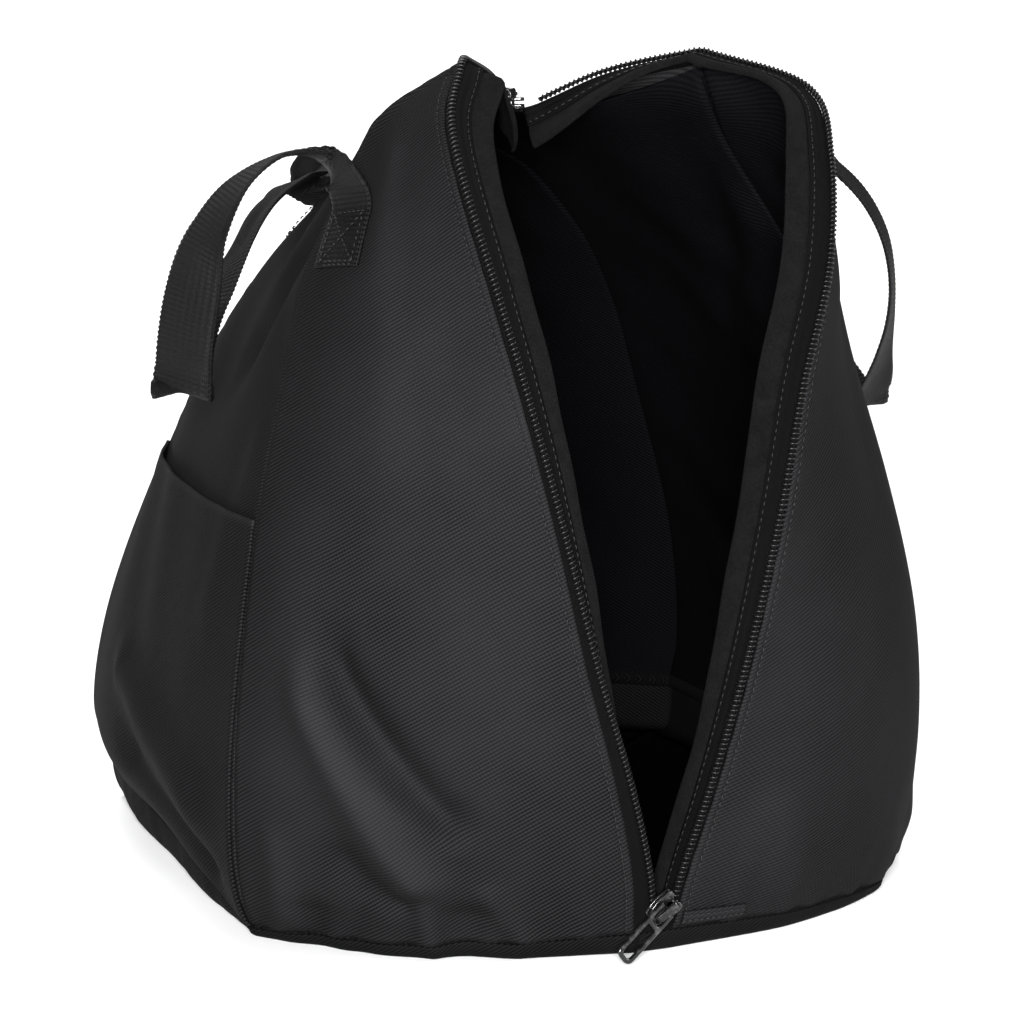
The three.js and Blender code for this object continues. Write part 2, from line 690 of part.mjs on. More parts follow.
// The base: a turned-up border round a flat bottom
function basePanel(seam) {
  const rimHeight = (p) => p.z - SEAM_GAP;
  const outer = BASE_RINGS.map((ring) => insetLoop(seam, ring.inset * HALF_WIDTH)
    .map((p) => p.setZ(rimHeight(p) * ring.height)));
  const inner = BASE_RINGS.map((ring) => {
    const loop = insetLoop(seam, ring.inset * HALF_WIDTH + BASE_WALL * ring.inwards);
    return loop.map((p) => p.setZ(rimHeight(p) * ring.height + BASE_WALL * ring.upwards));
  });
  const middle = new THREE.Vector3(0, BASE_MIDDLE * HALF_DEPTH, 0);
  return dish(outer, inner, middle, middle.clone().setZ(BASE_WALL));
}

// The pad that lines the flat of the base
function baseLining(seam) {
  const loop = insetLoop(seam, PAD_INSET * HALF_WIDTH);
  const at = (z) => loop.map((p) => p.clone().setZ(z));
  const low = BASE_WALL + GAP;
  const middle = new THREE.Vector3(0, BASE_MIDDLE * HALF_DEPTH, low);
  return dish([at(low)], [at(low + BASE_PAD)], middle, middle.clone().setZ(low + BASE_PAD));
}

// The side pocket lies on the side panel from the base seam up, and gapes a little at its top
function sidePocket(grid) {
  const gape = (j, i) => {
    const across = Math.sin(Math.PI * (i - FRONT_COLUMN) / SIDE_STEPS);
    return POCKET_GAPE * HALF_WIDTH * across * (j / POCKET_ROWS) ** 3;
  };
  return panel(grid, FRONT_COLUMN, REAR_COLUMN, POCKET_ROWS, -GAP - CLOTH, -GAP,
    allEdges(2 * SEAM_GAP), gape);
}

// A webbing strap through sections with a middle, a direction across and a step between them
function strap(sections) {
  const middles = sections.map((section) => section.middle);
  const directions = sections.map((section) => section.across);
  const steps = (sections.length - 1) * STRAP_STEPS_BETWEEN;
  const frames = [];
  for (let k = 0; k <= steps; k += 1) {
    const t = k / STRAP_STEPS_BETWEEN;
    const ahead = along(middles, Math.min(t + STRAP_LOOK, middles.length - 1));
    const run = ahead.sub(along(middles, Math.max(t - STRAP_LOOK, 0)));
    const across = along(directions, t);
    across.addScaledVector(run, -across.dot(run) / run.lengthSq()).normalize();
    frames.push({ middle: along(middles, t), across, face: across.clone().cross(run).normalize() });
  }
  const sheet = (lift) => frames.map(({ middle, across, face }) => [-1, 1].map((end) => (
    middle.clone().addScaledVector(across, end * WEBBING_WIDTH / 2).addScaledVector(face, lift))));
  return wall(sheet(WEBBING / 2), sheet(-WEBBING / 2));
}

// The sewn end of a strap along a column of the grid, from its lower end up to where it lifts off
function sewnEnd(grid, column, clear) {
  const at = (rows, row) => along(rows.map((list) => list[column]), row * ROW_STEPS / CREST_ROW);
  const run = at(grid.points, SEWN_TO).sub(at(grid.points, SEWN_FROM)).normalize();
  const section = (row, ahead, off) => {
    const normal = at(grid.normals, row).normalize();
    const middle = at(grid.points, row).addScaledVector(run, ahead)
      .addScaledVector(normal, clear + WEBBING / 2 + off);
    const across = normal.clone().cross(run).normalize().multiplyScalar(-mirror[grid.side]);
    return { middle, across };
  };
  const sections = [];
  for (let k = 0; k < SEWN_SECTIONS; k += 1) {
    sections.push(section(mix(SEWN_FROM, SEWN_TO, k / (SEWN_SECTIONS - 1)), 0, 0));
  }
  for (const { along: ahead, off } of LIFT_OFF) {
    sections.push(section(SEWN_TO, ahead * WEBBING_WIDTH, off * WEBBING_WIDTH));
  }
  return sections;
}

// A handle: sewn beside the front seam, over and down to its fold, back up, sewn beside the rear seam
function handle(grid) {
  const turn = mirror[grid.side];
  const free = STRAPS[grid.side].map((row) => {
    const middle = share(row);
    middle.x *= turn;
    return { middle, across: new THREE.Vector3(row.acrossX * turn, row.acrossY, row.acrossZ) };
  });
  const front = sewnEnd(grid, FRONT_END, WEBBING_OFF.front);
  const rear = sewnEnd(grid, REAR_END, WEBBING_OFF.rear).reverse();
  return strap([...front, ...free, ...rear]);
}

// A tab of folded cloth on the right panel, beside the foot of the zip
function zipEndTab(grid) {
  const at = (list, station, row) => {
    const column = station * FRONT_STEPS / FRONT_SEAM;
    const lines = list.map((line) => along(line.slice(0, FRONT_COLUMN + 1), column));
    return along(lines, row * ROW_STEPS / CREST_ROW);
  };
  const sheet = (lift) => {
    const lines = [];
    for (const row of [TAB_LOW, TAB_HIGH]) {
      const line = [];
      for (let k = 0; k <= TAB_STEPS; k += 1) {
        const station = mix(TAB_FROM, TAB_TO, k / TAB_STEPS);
        line.push(at(grid.points, station, row)
          .addScaledVector(at(grid.normals, station, row).normalize(), lift));
      }
      lines.push(line);
    }
    return lines;
  };
  return wall(sheet(GAP + SEAM_GAP), sheet(GAP + SEAM_GAP + TAB_THICKNESS));
}

// One merged body for a boolean, and back again
function toManifold(geometry) {
  const bare = geometry.clone();
  bare.deleteAttribute('normal');
  bare.deleteAttribute('uv');
  const merged = mergeVertices(bare);
  return new wasm.Manifold(new wasm.Mesh({
    numProp: 3,
    vertProperties: Float32Array.from(merged.attributes.position.array),
    triVerts: Uint32Array.from(merged.index.array),
  }));
}

function fromManifold(body) {
  const mesh = body.getMesh();
  const geometry = new THREE.BufferGeometry();
  geometry.setAttribute('position', new THREE.Float32BufferAttribute(mesh.vertProperties, 3));
  geometry.setIndex([...mesh.triVerts]);
  geometry.computeVertexNormals();
  return geometry;
}

function plate(shape, depth) {
  const curveSegments = PLATE_CURVE_SEGMENTS;
  return new THREE.ExtrudeGeometry(shape, { depth, bevelEnabled: false, curveSegments });
}

// Height of the pull's bar over the slider's body, inside the bail
const BAR_HEIGHT = EYE_CLEARANCE + PULL_THICKNESS / 2;

// Zip slider in its own frame: x across, y along the zip towards its wide end, z outwards, origin
// on top of the body; the bail is an arch over the body that holds the pull
function slider() {
  const half = SLIDER_WIDTH / 2;
  const end = SLIDER_LENGTH / 2;
  const { narrow, side, lobe } = SLIDER_SHARES;
  const body = new THREE.Shape();
  body.moveTo(-half * narrow, -end);
  body.lineTo(half * narrow, -end);
  body.lineTo(half, 0);
  body.lineTo(half, end * side);
  body.quadraticCurveTo(half, end, half * lobe, end);
  body.quadraticCurveTo(0, end * side, -half * lobe, end);
  body.quadraticCurveTo(-half, end, -half, end * side);
  body.lineTo(-half, 0);
  const bodyPlate = plate(body, SLIDER_THICKNESS).translate(0, 0, -SLIDER_THICKNESS);
  const inside = 2 * BAR_HEIGHT;
  const reach = BAIL_LENGTH / 2;
  const arch = new THREE.Shape();
  arch.moveTo(-reach, -GAP);
  arch.lineTo(-reach, inside);
  arch.lineTo(-reach + BAIL_WIRE, inside + BAIL_WIRE);
  arch.lineTo(reach - BAIL_WIRE, inside + BAIL_WIRE);
  arch.lineTo(reach, inside);
  arch.lineTo(reach, -GAP);
  arch.lineTo(reach - BAIL_WIRE, -GAP);
  arch.lineTo(reach - BAIL_WIRE, inside);
  arch.lineTo(-reach + BAIL_WIRE, inside);
  arch.lineTo(-reach + BAIL_WIRE, -GAP);
  const bail = plate(arch, BAIL_WIDTH).translate(0, 0, -BAIL_WIDTH / 2)
    .rotateX(Math.PI / 2).rotateZ(Math.PI / 2);
  return fromManifold(toManifold(bodyPlate).add(toManifold(bail)));
}

// Pull tab in its own frame: a flat frame with an eye for the bail, hanging along -y from the bar
// through the bail, which lies on the x axis
function pull() {
  const half = PULL_WIDTH / 2;
  const bar = PULL_THICKNESS / 2;
  const eyeEnd = BAIL_LENGTH / 2 + EYE_CLEARANCE + BAIL_WIRE;
  const windowStart = eyeEnd + PULL_RAIL;
  const windowEnd = PULL_LENGTH - PULL_RAIL;
  const outline = new THREE.Shape();
  outline.moveTo(-half, 0);
  outline.quadraticCurveTo(-half, bar, -half + bar, bar);
  outline.lineTo(half - bar, bar);
  outline.quadraticCurveTo(half, bar, half, 0);
  outline.lineTo(half, half - PULL_LENGTH);
  outline.quadraticCurveTo(half, -PULL_LENGTH, 0, -PULL_LENGTH);
  outline.quadraticCurveTo(-half, -PULL_LENGTH, -half, half - PULL_LENGTH);
  const opening = (from, to) => {
    const inner = half - PULL_RAIL;
    const hole = new THREE.Path();
    hole.moveTo(-inner, -from);
    hole.lineTo(-inner, -to);
    hole.lineTo(inner, -to);
    hole.lineTo(inner, -from);
    return hole;
  };
  outline.holes.push(opening(bar, eyeEnd), opening(windowStart, windowEnd));
  return plate(outline, PULL_THICKNESS).translate(0, 0, -PULL_THICKNESS / 2);
}

const bag = new THREE.Group();

function add(name, geometry, material, parent = bag) {
  const mesh = new THREE.Mesh(geometry, material);
  mesh.name = name;
  parent.add(mesh);
  return mesh;
}

// A slider with its pull, placed by its middle, the zip's direction and the outward normal
function addSlider(name, at, towardsOpen, outwards, tilt) {
  const unit = new THREE.Group();
  const y = towardsOpen.clone().normalize();
  const x = y.clone().cross(outwards).normalize();
  const z = x.clone().cross(y);
  unit.setRotationFromMatrix(new THREE.Matrix4().makeBasis(x, y, z));
  unit.position.copy(at);
  add(`${name}_slider`, slider(), BLACK_METAL, unit);
  const tab = add(`${name}_pull`, pull(), BLACK_METAL, unit);
  tab.position.z = BAR_HEIGHT;
  tab.rotation.x = -THREE.MathUtils.degToRad(tilt);
  bag.add(unit);
}

const grids = { left: halfGrid('left'), right: halfGrid('right') };
const seam = baseSeam(grids.left, grids.right);
add('base_panel', basePanel(seam), BLACK_TWILL);
add('base_lining', baseLining(seam), BLACK_LINING);

const liningDepth = CLOTH + GAP + TAPE + GAP;
for (const grid of Object.values(grids)) {
  const { side } = grid;
  const outer = (from, to) => panel(grid, from, to, ROW_STEPS, 0, CLOTH, allEdges(SEAM_GAP / 2));
  add(`${side}_front_panel`, outer(0, FRONT_COLUMN), BLACK_TWILL);
  add(`${side}_side_panel`, outer(FRONT_COLUMN, REAR_COLUMN), BLACK_TWILL);
  add(`${side}_rear_panel`, outer(REAR_COLUMN, TAIL_COLUMN), BLACK_TWILL);
  const lining = panel(grid, 0, TAIL_COLUMN, LINING_ROWS, liningDepth, liningDepth + LINING, LINING_BACK);
  add(`${side}_lining`, lining, BLACK_LINING);
  const edge = mouthEdge(grid);
  add(`${side}_zip_tape`, zipTape(cutRun(edge, SEAM_GAP, SEAM_GAP), side), ZIP_TAPE);
  add(`${side}_zip_guard`, zipGuard(cutRun(edge, SEAM_GAP, SEAM_GAP), side), FLEECE);
  const open = cutRun(edge, SLIDER_LENGTH + 2 * COIL_RADIUS, SLIDER_LENGTH / 2 + 2 * COIL_RADIUS);
  add(`${side}_zip_coil`, zipCoil(open, side), NYLON);
  add(`${side}_handle`, handle(grid), WEB);
}
add('left_pocket', sidePocket(grids.left), BLACK_TWILL);
add('rear_zip', rearZip(grids.left, grids.right), ZIP_TAPE);
add('zip_end_tab', zipEndTab(grids.right), BLACK_TWILL);

const roll = THREE.MathUtils.degToRad(BOTTOM_SLIDER_ROLL);
const bottomAt = share(BOTTOM_SLIDER_AT).add(new THREE.Vector3(0, -SLIDER_THICKNESS, 0));
addSlider('bottom', bottomAt, new THREE.Vector3(Math.sin(roll), 0, Math.cos(roll)),
  new THREE.Vector3(0, -1, 0), BOTTOM_PULL_TILT);

const crestLeft = grids.left.points[ROW_STEPS];
const crestRight = grids.right.points[ROW_STEPS];
const crestAt = (i) => crestLeft[i].clone().lerp(crestRight[i], 1 / 2);
const ridge = crestAt(SLIDER_COLUMN + 1).sub(crestAt(SLIDER_COLUMN));
const topNormal = new THREE.Vector3(0, -ridge.z, ridge.y).normalize();
const topAt = crestAt(SLIDER_COLUMN).addScaledVector(topNormal, SLIDER_THICKNESS);
addSlider('top', topAt, ridge.clone().negate(), topNormal, TOP_PULL_TILT);

export default bag;
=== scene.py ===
# %% [markdown]
# # A soft helmet bag in black twill
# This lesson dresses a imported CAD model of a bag. The model gives us plain solids in the right place;
# here each of them gets the cloth, zip, webbing or metal that the real bag has. Everything is in
# metres, +Z points up and the open front faces -Y.

# %% Load the frame
import json
import math

import bpy
import numpy as np
from mathutils import Matrix, Vector


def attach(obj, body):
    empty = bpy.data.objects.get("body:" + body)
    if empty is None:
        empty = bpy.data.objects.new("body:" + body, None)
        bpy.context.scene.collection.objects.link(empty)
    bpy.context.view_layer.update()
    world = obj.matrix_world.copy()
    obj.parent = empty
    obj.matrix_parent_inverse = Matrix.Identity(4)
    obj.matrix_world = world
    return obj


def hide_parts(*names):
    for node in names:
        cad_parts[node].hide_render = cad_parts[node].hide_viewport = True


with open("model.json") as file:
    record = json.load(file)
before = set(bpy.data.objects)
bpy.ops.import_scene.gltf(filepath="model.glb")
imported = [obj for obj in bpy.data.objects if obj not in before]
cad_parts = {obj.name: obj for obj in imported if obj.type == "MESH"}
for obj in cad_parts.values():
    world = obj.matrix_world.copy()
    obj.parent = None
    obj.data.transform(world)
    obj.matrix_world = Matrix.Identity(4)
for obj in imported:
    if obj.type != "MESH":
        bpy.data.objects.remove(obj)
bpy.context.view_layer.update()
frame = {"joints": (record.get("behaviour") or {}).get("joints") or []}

# %% [markdown]
# The bag's size comes from the box of the solids, and the thin layers from what such cloth measures.
# All other places on the bag are shares of these, so the whole bag follows them.

# %% Driving sizes
MM = .001
HALF_WIDTH = 150 * MM
HALF_DEPTH = 170 * MM
HEIGHT = 340 * MM
CLOTH = 1.2 * MM
LINING = 1.3 * MM
LAYER_GAP = .35 * MM
TAPE = .8 * MM
COIL_RADIUS = 1.6 * MM
mirror = {"left": -1, "right": 1}

# %% [markdown]
# The camera stands where the photographer stood: a little to the left of the bag's front and a little
# above it, far away with a long lens. We set it first, because everything is judged through it. The
# small shift keeps the upright lines upright while the bag sits slightly off the middle.

# %% Camera
CAMERA_AZIMUTH = math.radians(-22)
CAMERA_ELEVATION = math.radians(13)
CAMERA_DISTANCE = 2.0
AIM_HEIGHT = .165
CAMERA_LENS = 170.2
CAMERA_SHIFT = (.0104, -.0553)


def new_object(name, data):
    """An object in the scene for a mesh, curve, light or camera."""
    thing = bpy.data.objects.new(name, data)
    bpy.context.scene.collection.objects.link(thing)
    return thing


camera_data = bpy.data.cameras.new("camera")
camera_data.lens = CAMERA_LENS
camera_data.shift_x, camera_data.shift_y = CAMERA_SHIFT
camera_data.clip_end = 50
camera = new_object("camera", camera_data)
towards_camera = np.array([
    math.sin(CAMERA_AZIMUTH) * math.cos(CAMERA_ELEVATION),
    -math.cos(CAMERA_AZIMUTH) * math.cos(CAMERA_ELEVATION),
    math.sin(CAMERA_ELEVATION),
])
camera.location = towards_camera * CAMERA_DISTANCE + np.array([0, 0, AIM_HEIGHT])
camera.rotation_euler = (math.pi / 2 - CAMERA_ELEVATION, 0, CAMERA_AZIMUTH)
bpy.context.scene.camera = camera
print("camera at", [round(v, 3) for v in camera.location])

# %% [markdown]
# Every finish is a node material. A few helpers keep them short: one starts a material, one adds a
# node with its settings, and one gives the place on the cloth in millimetres. That place is a UV map
# named "weave" which each piece gets with its mesh, so a 1 mm weave is 1 mm on every piece.

# %% Material helpers
WEAVE = "weave"


def set_inputs(material, node, inputs):
    """Link each input of a node to the output given for it, or give it a constant."""
    for name, value in inputs.items():
        socket = node.inputs[name]
        if isinstance(value, bpy.types.NodeSocket):
            material.node_tree.links.new(value, socket)
        else:
            socket.default_value = (*value, 1) if socket.type == "RGBA" else value


def start_material(name, roughness, metallic=0, specular=.5):
    material = bpy.data.materials.new(name)
    material.use_nodes = True
    shader = material.node_tree.nodes["Principled BSDF"]
    set_inputs(material, shader, {"Roughness": roughness, "Metallic": metallic, "Specular IOR Level": specular})
    return material, shader


def add_node(material, kind, inputs=None, **settings):
    node = material.node_tree.nodes.new(kind)
    for name, value in settings.items():
        setattr(node, name, value)
    set_inputs(material, node, inputs or {})
    return node


def weave_place(material, turn=0):
    """Place on the cloth in millimetres, turned by an angle in degrees."""
    uv = add_node(material, "ShaderNodeUVMap", uv_map=WEAVE)
    inputs = {"Vector": uv.outputs["UV"], "Rotation": (0, 0, math.radians(turn))}
    return add_node(material, "ShaderNodeMapping", inputs).outputs["Vector"]


def math_node(material, operation, *values):
    return add_node(material, "ShaderNodeMath", dict(enumerate(values)), operation=operation).outputs[0]


def bands(material, place, pitch, distortion=0.0):
    """Ridges across the X of a place, pitch millimetres apart, from 0 to 1."""
    inputs = {"Vector": place, "Distortion": distortion, "Scale": math.pi / 10 / pitch,
              "Detail": 1, "Detail Scale": 1}
    return add_node(material, "ShaderNodeTexWave", inputs, wave_type="BANDS", bands_direction="X",
                    wave_profile="SIN").outputs["Fac"]


def noise(material, place, scale, detail=3, roughness=.6):
    inputs = {"Vector": place, "Scale": scale, "Detail": detail, "Roughness": roughness}
    return add_node(material, "ShaderNodeTexNoise", inputs).outputs["Fac"]


def ramp(material, factor, dark, light, low=0.0, high=1.0):
    node = add_node(material, "ShaderNodeValToRGB", {"Fac": factor})
    node.color_ramp.elements[0].position = low
    node.color_ramp.elements[1].position = high
    node.color_ramp.elements[0].color = (*dark, 1)
    node.color_ramp.elements[1].color = (*light, 1)
    return node.outputs["Color"]


def mix_colour(material, factor, first, second, blend="MIX"):
    node = add_node(material, "ShaderNodeMix", data_type="RGBA", blend_type=blend)
    set_inputs(material, node, {0: factor, 6: first, 7: second})
    return node.outputs[2]


def bump(material, shader, height, distance, strength=1.0, before=None):
    """Relief from a height, on top of the relief of another bump where one is given."""
    inputs = {"Height": height, "Distance": distance, "Strength": strength}
    if before is not None:
        inputs["Normal"] = before
    normal = add_node(material, "ShaderNodeBump", inputs).outputs["Normal"]
    set_inputs(material, shader, {"Normal": normal})
    return normal


def object_place(material):
    return add_node(material, "ShaderNodeTexCoord").outputs["Object"]


# %% [markdown]
# The bag is sewn from polyester twill. In twill the threads step sideways on each row, which draws
# fine slanted ridges a little over 1 mm apart. Two sets of bands make it: the slanted ridges, and
# weaker breaks across them where one thread dives under the next. A soft noise adds the uneven dye and
# dust, and a value that the meshes carry lightens the cloth: real wear on the rolled edges, and a
# painted highlight on the fold crests. The Facing value darkens the colour where the cloth is seen at
# a slant, a painted shade on the sides that turn away.

# %% Twill
CLOTH_SPECULAR = .03
TWILL_PITCH = 1.35
TWILL_BREAK = 1.22
TWILL_TURN = 58
BREAK_TURN = 153
BREAK_SHARE = .3
# Painted shade: how much darker the cloth gets where it is seen at a slant.
SLANT_PAINTED_SHADE = .5
DYE_LIFT = 1.35
# How much lighter the cloth gets: real wear on the edges, and a painted highlight on fold crests.
WEAR_AND_HIGHLIGHT_LIFT = 2.0


def twill_material(name, dark, light, sheen):
    material, shader = start_material(name, .82, specular=CLOTH_SPECULAR)
    ridge = bands(material, weave_place(material, TWILL_TURN), TWILL_PITCH, .08)
    breaks = bands(material, weave_place(material, BREAK_TURN), TWILL_BREAK, .2)
    threads = math_node(material, "MULTIPLY_ADD", breaks, BREAK_SHARE, ridge)
    cloud = noise(material, object_place(material), 9, 4)
    weave = ramp(material, threads, dark, light, .25, 1.0)
    patchy = ramp(material, cloud, (0, 0, 0), (.55, .55, .55), .35, .75)
    dyed = mix_colour(material, patchy, weave, tuple(DYE_LIFT * v for v in light))
    wear_and_highlight = add_node(material, "ShaderNodeAttribute", attribute_name="wear_and_highlight").outputs["Fac"]
    # Lightens the colour: real wear on the rolled edges, and a painted highlight on the fold crests.
    rubbed = math_node(material, "MULTIPLY", wear_and_highlight, .5)
    worn_and_highlit = mix_colour(material, rubbed, dyed, tuple(WEAR_AND_HIGHLIGHT_LIFT * v for v in light))
    # Painted shade: the colour darkens where the cloth is seen at a slant, on the sides that turn away.
    turned = add_node(material, "ShaderNodeLayerWeight", {"Blend": .75}).outputs["Facing"]
    shade = ramp(material, turned, (1, 1, 1), (1 - SLANT_PAINTED_SHADE,) * 3)
    set_inputs(material, shader, {
        "Base Color": mix_colour(material, 1, worn_and_highlit, shade, "MULTIPLY"),
        "Roughness": math_node(material, "MULTIPLY_ADD", cloud, .2, .68),
        "Sheen Weight": sheen, "Sheen Roughness": .45,
    })
    soft = bump(material, shader, noise(material, object_place(material), 45, 3), .0012, .35)
    bump(material, shader, threads, .00025, .8, soft)
    return material


TWILL = twill_material("black_twill", (.0007, .0007, .0009), (.0112, .0109, .0116), .004)
# The same twill at half brightness: painted shade on the base under the bag.
SHADED_BASE_TWILL = twill_material("black_base_twill_painted_shade", (.0004, .0004, .0005), (.0056, .0055, .0059), .002)
print("made", TWILL.name, SHADED_BASE_TWILL.name)

# %% [markdown]
# Inside, a thinner lining with the same slanted weave, nearly black and without any sheen, because
# the light hardly reaches it.

# %% Lining
LINING_CLOTH = twill_material("black_lining", (.0002, .0002, .0003), (.0018, .0018, .0024), 0)
print("made", LINING_CLOTH.name)

# %% [markdown]
# Behind the zip runs a guard of short fleece, so that the helmet isn't scratched. Fleece has no
# weave to see. It is a mat of tiny curls, so two noises, one coarse and one fine, stand for it.

# %% Fleece


def fleece_material():
    material, shader = start_material("black_fleece", 1, specular=.05)
    place = object_place(material)
    curls = noise(material, place, 900, 5, .75)
    clumps = noise(material, place, 160, 3)
    pile = math_node(material, "MULTIPLY_ADD", clumps, .6, curls)
    colour = ramp(material, pile, (.0007, .0006, .0007), (.0050, .0046, .0048), .45, 1.05)
    set_inputs(material, shader, {"Base Color": colour, "Sheen Weight": .006, "Sheen Roughness": .6})
    bump(material, shader, pile, .0012, .9)
    return material


FLEECE = fleece_material()
print("made", FLEECE.name)

# %% [markdown]
# Zip tape is woven in a herringbone: slanted ridges that change direction every few millimetres.
# Folding the sideways place back and forth, like a ping-pong, turns plain bands into that zigzag.

# %% Zip tape
HERRINGBONE_WIDTH = 1.6
TAPE_RIDGE = .55


def tape_material():
    material, shader = start_material("black_zip_tape", .85, specular=CLOTH_SPECULAR)
    place = add_node(material, "ShaderNodeSeparateXYZ", {"Vector": weave_place(material)})
    folded = math_node(material, "PINGPONG", place.outputs["Y"], HERRINGBONE_WIDTH)
    slanted = math_node(material, "ADD", place.outputs["X"], folded)
    line = add_node(material, "ShaderNodeCombineXYZ", {"X": slanted}).outputs["Vector"]
    ridge = bands(material, line, TAPE_RIDGE)
    colour = ramp(material, ridge, (.0005, .0005, .0005), (.0050, .0048, .0048), .1, 1)
    set_inputs(material, shader, {"Base Color": colour, "Sheen Weight": .003})
    bump(material, shader, ridge, .0002, .9)
    return material


ZIP_TAPE = tape_material()
print("made", ZIP_TAPE.name)

# %% [markdown]
# The coil is one long nylon wire, smooth and slightly shiny: each loop catches a small glint. The
# webbing and the sewing thread are both polyester, matt with a soft shine along the fibres; on the
# webbing the tops of the ribs are also painted lighter, a painted highlight on the weave.

# %% Nylon, webbing and thread


def nylon_material():
    material, shader = start_material("black_nylon_coil", .38, specular=.25)
    cloud = noise(material, object_place(material), 400, 2)
    set_inputs(material, shader, {"Base Color": ramp(material, cloud, (.0008,) * 3, (.0030,) * 3)})
    return material


def webbing_material():
    material, shader = start_material("black_webbing", .5, specular=.10)
    ribs = bands(material, weave_place(material, 0), 1.0, .4)
    fibres = bands(material, weave_place(material, 62), .42, .8)
    threads = math_node(material, "MULTIPLY_ADD", fibres, .5, ribs)
    # Weave pattern, with only the tops of the ribs lightened: partly a painted highlight on the ribs.
    colour = ramp(material, threads, (.0001, .0001, .0002), (.0060, .0060, .0064), .75, 1.4)
    set_inputs(material, shader, {"Base Color": colour, "Sheen Weight": .003})
    bump(material, shader, threads, .0002, .7)
    return material


def thread_material(name, dark, light):
    material, shader = start_material(name, .55, specular=.25)
    strands = noise(material, object_place(material), 2500, 2)
    set_inputs(material, shader, {"Base Color": ramp(material, strands, dark, light, .3, .7)})
    bump(material, shader, strands, .0001, .6)
    return material


NYLON = nylon_material()
WEBBING_CLOTH = webbing_material()
THREAD = thread_material("black_thread", (.001, .001, .001), (.005, .005, .005))
BOLD_THREAD = thread_material("bartack_thread", (.0010, .0010, .0012), (.0070, .0070, .0076))
print("made", NYLON.name, WEBBING_CLOTH.name, THREAD.name)

# %% [markdown]
# Sliders and pulls are die-cast metal with a thin black enamel. The enamel is glossy and wears to a
# brighter metal on the rims, where fingers rub, so a noise mixes a little bare metal in.

# %% Enamelled metal


def metal_material():
    material, shader = start_material("black_enamel_metal", .22, .75)
    place = object_place(material)
    rubbed = noise(material, place, 260, 4, .7)
    colour = ramp(material, rubbed, (.010, .010, .011), (.12, .115, .11), .52, .8)
    rough = math_node(material, "MULTIPLY_ADD", rubbed, .25, .1)
    set_inputs(material, shader, {"Base Color": colour, "Roughness": rough, "Coat Weight": .5})
    bump(material, shader, noise(material, place, 1500, 2), .00004, .5)
    return material


METAL = metal_material()
print("made", METAL.name)

# %% [markdown]
# Now the shape of the bag. One half is a net of a few named places: a row for each height, and on
# each row the mouth edge, the front seam, the middle of the side, the rear seam and the tail. These
# are the same places that the solids use, so our cloth lies where they lie. A smooth line through
# the places then gives as many points as we like.

# %% The net of places
BODY_COLUMNS = ["front_z", "seam_z", "back_z", "left_x", "left_y", "right_x", "right_y", "seam_x",
                "seam_y", "side_x", "side_y", "back_x", "back_y", "tail_y", "left_crown", "right_crown",
                "rear_crown", "show"]
BODY = [
    [.029, .015, .071, .070, -.965, .043, -.965, .940, -.506,
     .947, .106, .887, .712, .918, .113, .160, .120, .043],
    [.100, .088, .124, .083, -.982, .076, -.988, .980, -.518,
     1.02, .106, .920, .729, .976, .127, .180, .133, .040],
    [.206, .206, .224, .133, -.994, .147, -1.01, .987, -.529,
     1.01, .106, .900, .706, .988, .133, .180, .133, .033],
    [.347, .347, .335, .217, -.994, .230, -1.03, .960, -.524,
     .960, .100, .840, .665, .965, .120, .147, .120, .023],
    [.509, .503, .476, .288, -.953, .327, -1.01, .893, -.471,
     .863, .088, .727, .606, .906, .093, .100, .093, .016],
    [.647, .638, .606, .340, -.865, .427, -.929, .800, -.400,
     .742, .076, .613, .535, .829, .067, .073, .067, .016],
    [.771, .762, .712, .380, -.747, .547, -.824, .700, -.329,
     .607, .065, .473, .459, .741, .053, .053, .047, .016],
    [.882, .876, .806, .407, -.612, .627, -.665, .547, -.276,
     .400, .035, .280, .388, .659, .033, .033, .027, .016],
    [.948, .941, .842, .387, -.494, .647, -.494, .467, -.294,
     .233, .000, .160, .376, .618, .020, .020, .013, .016],
]
TAIL_X = .044
SIDE_CROWN = .022
CREST = {
    "left": [[.313, -.394, .994], [.307, -.384, .996], [.300, -.375, .998], [.293, -.365, 1.00],
             [.147, -.212, .965], [.044, -.047, .915], [.044, .165, .906], [.044, .365, .891],
             [.044, .482, .878], [.044, .576, .865]],
    "right": [[.470, -.262, .978], [.464, -.259, .978], [.459, -.256, .978], [.453, -.253, .978],
              [.233, -.141, .953], [.044, -.047, .915], [.044, .165, .906], [.044, .365, .891],
              [.044, .482, .878], [.044, .576, .865]],
}
PANELS = {"front": (0, 3), "side": (3, 7), "rear": (7, 9)}
CREST_ROW = len(BODY)


def swelling(start, end, share, crown):
    """A point a share of the way between two, moved out sideways by a crown."""
    out = np.array([end[1] - start[1], start[0] - end[0]])
    return start + (end - start) * share + out / np.linalg.norm(out) * crown


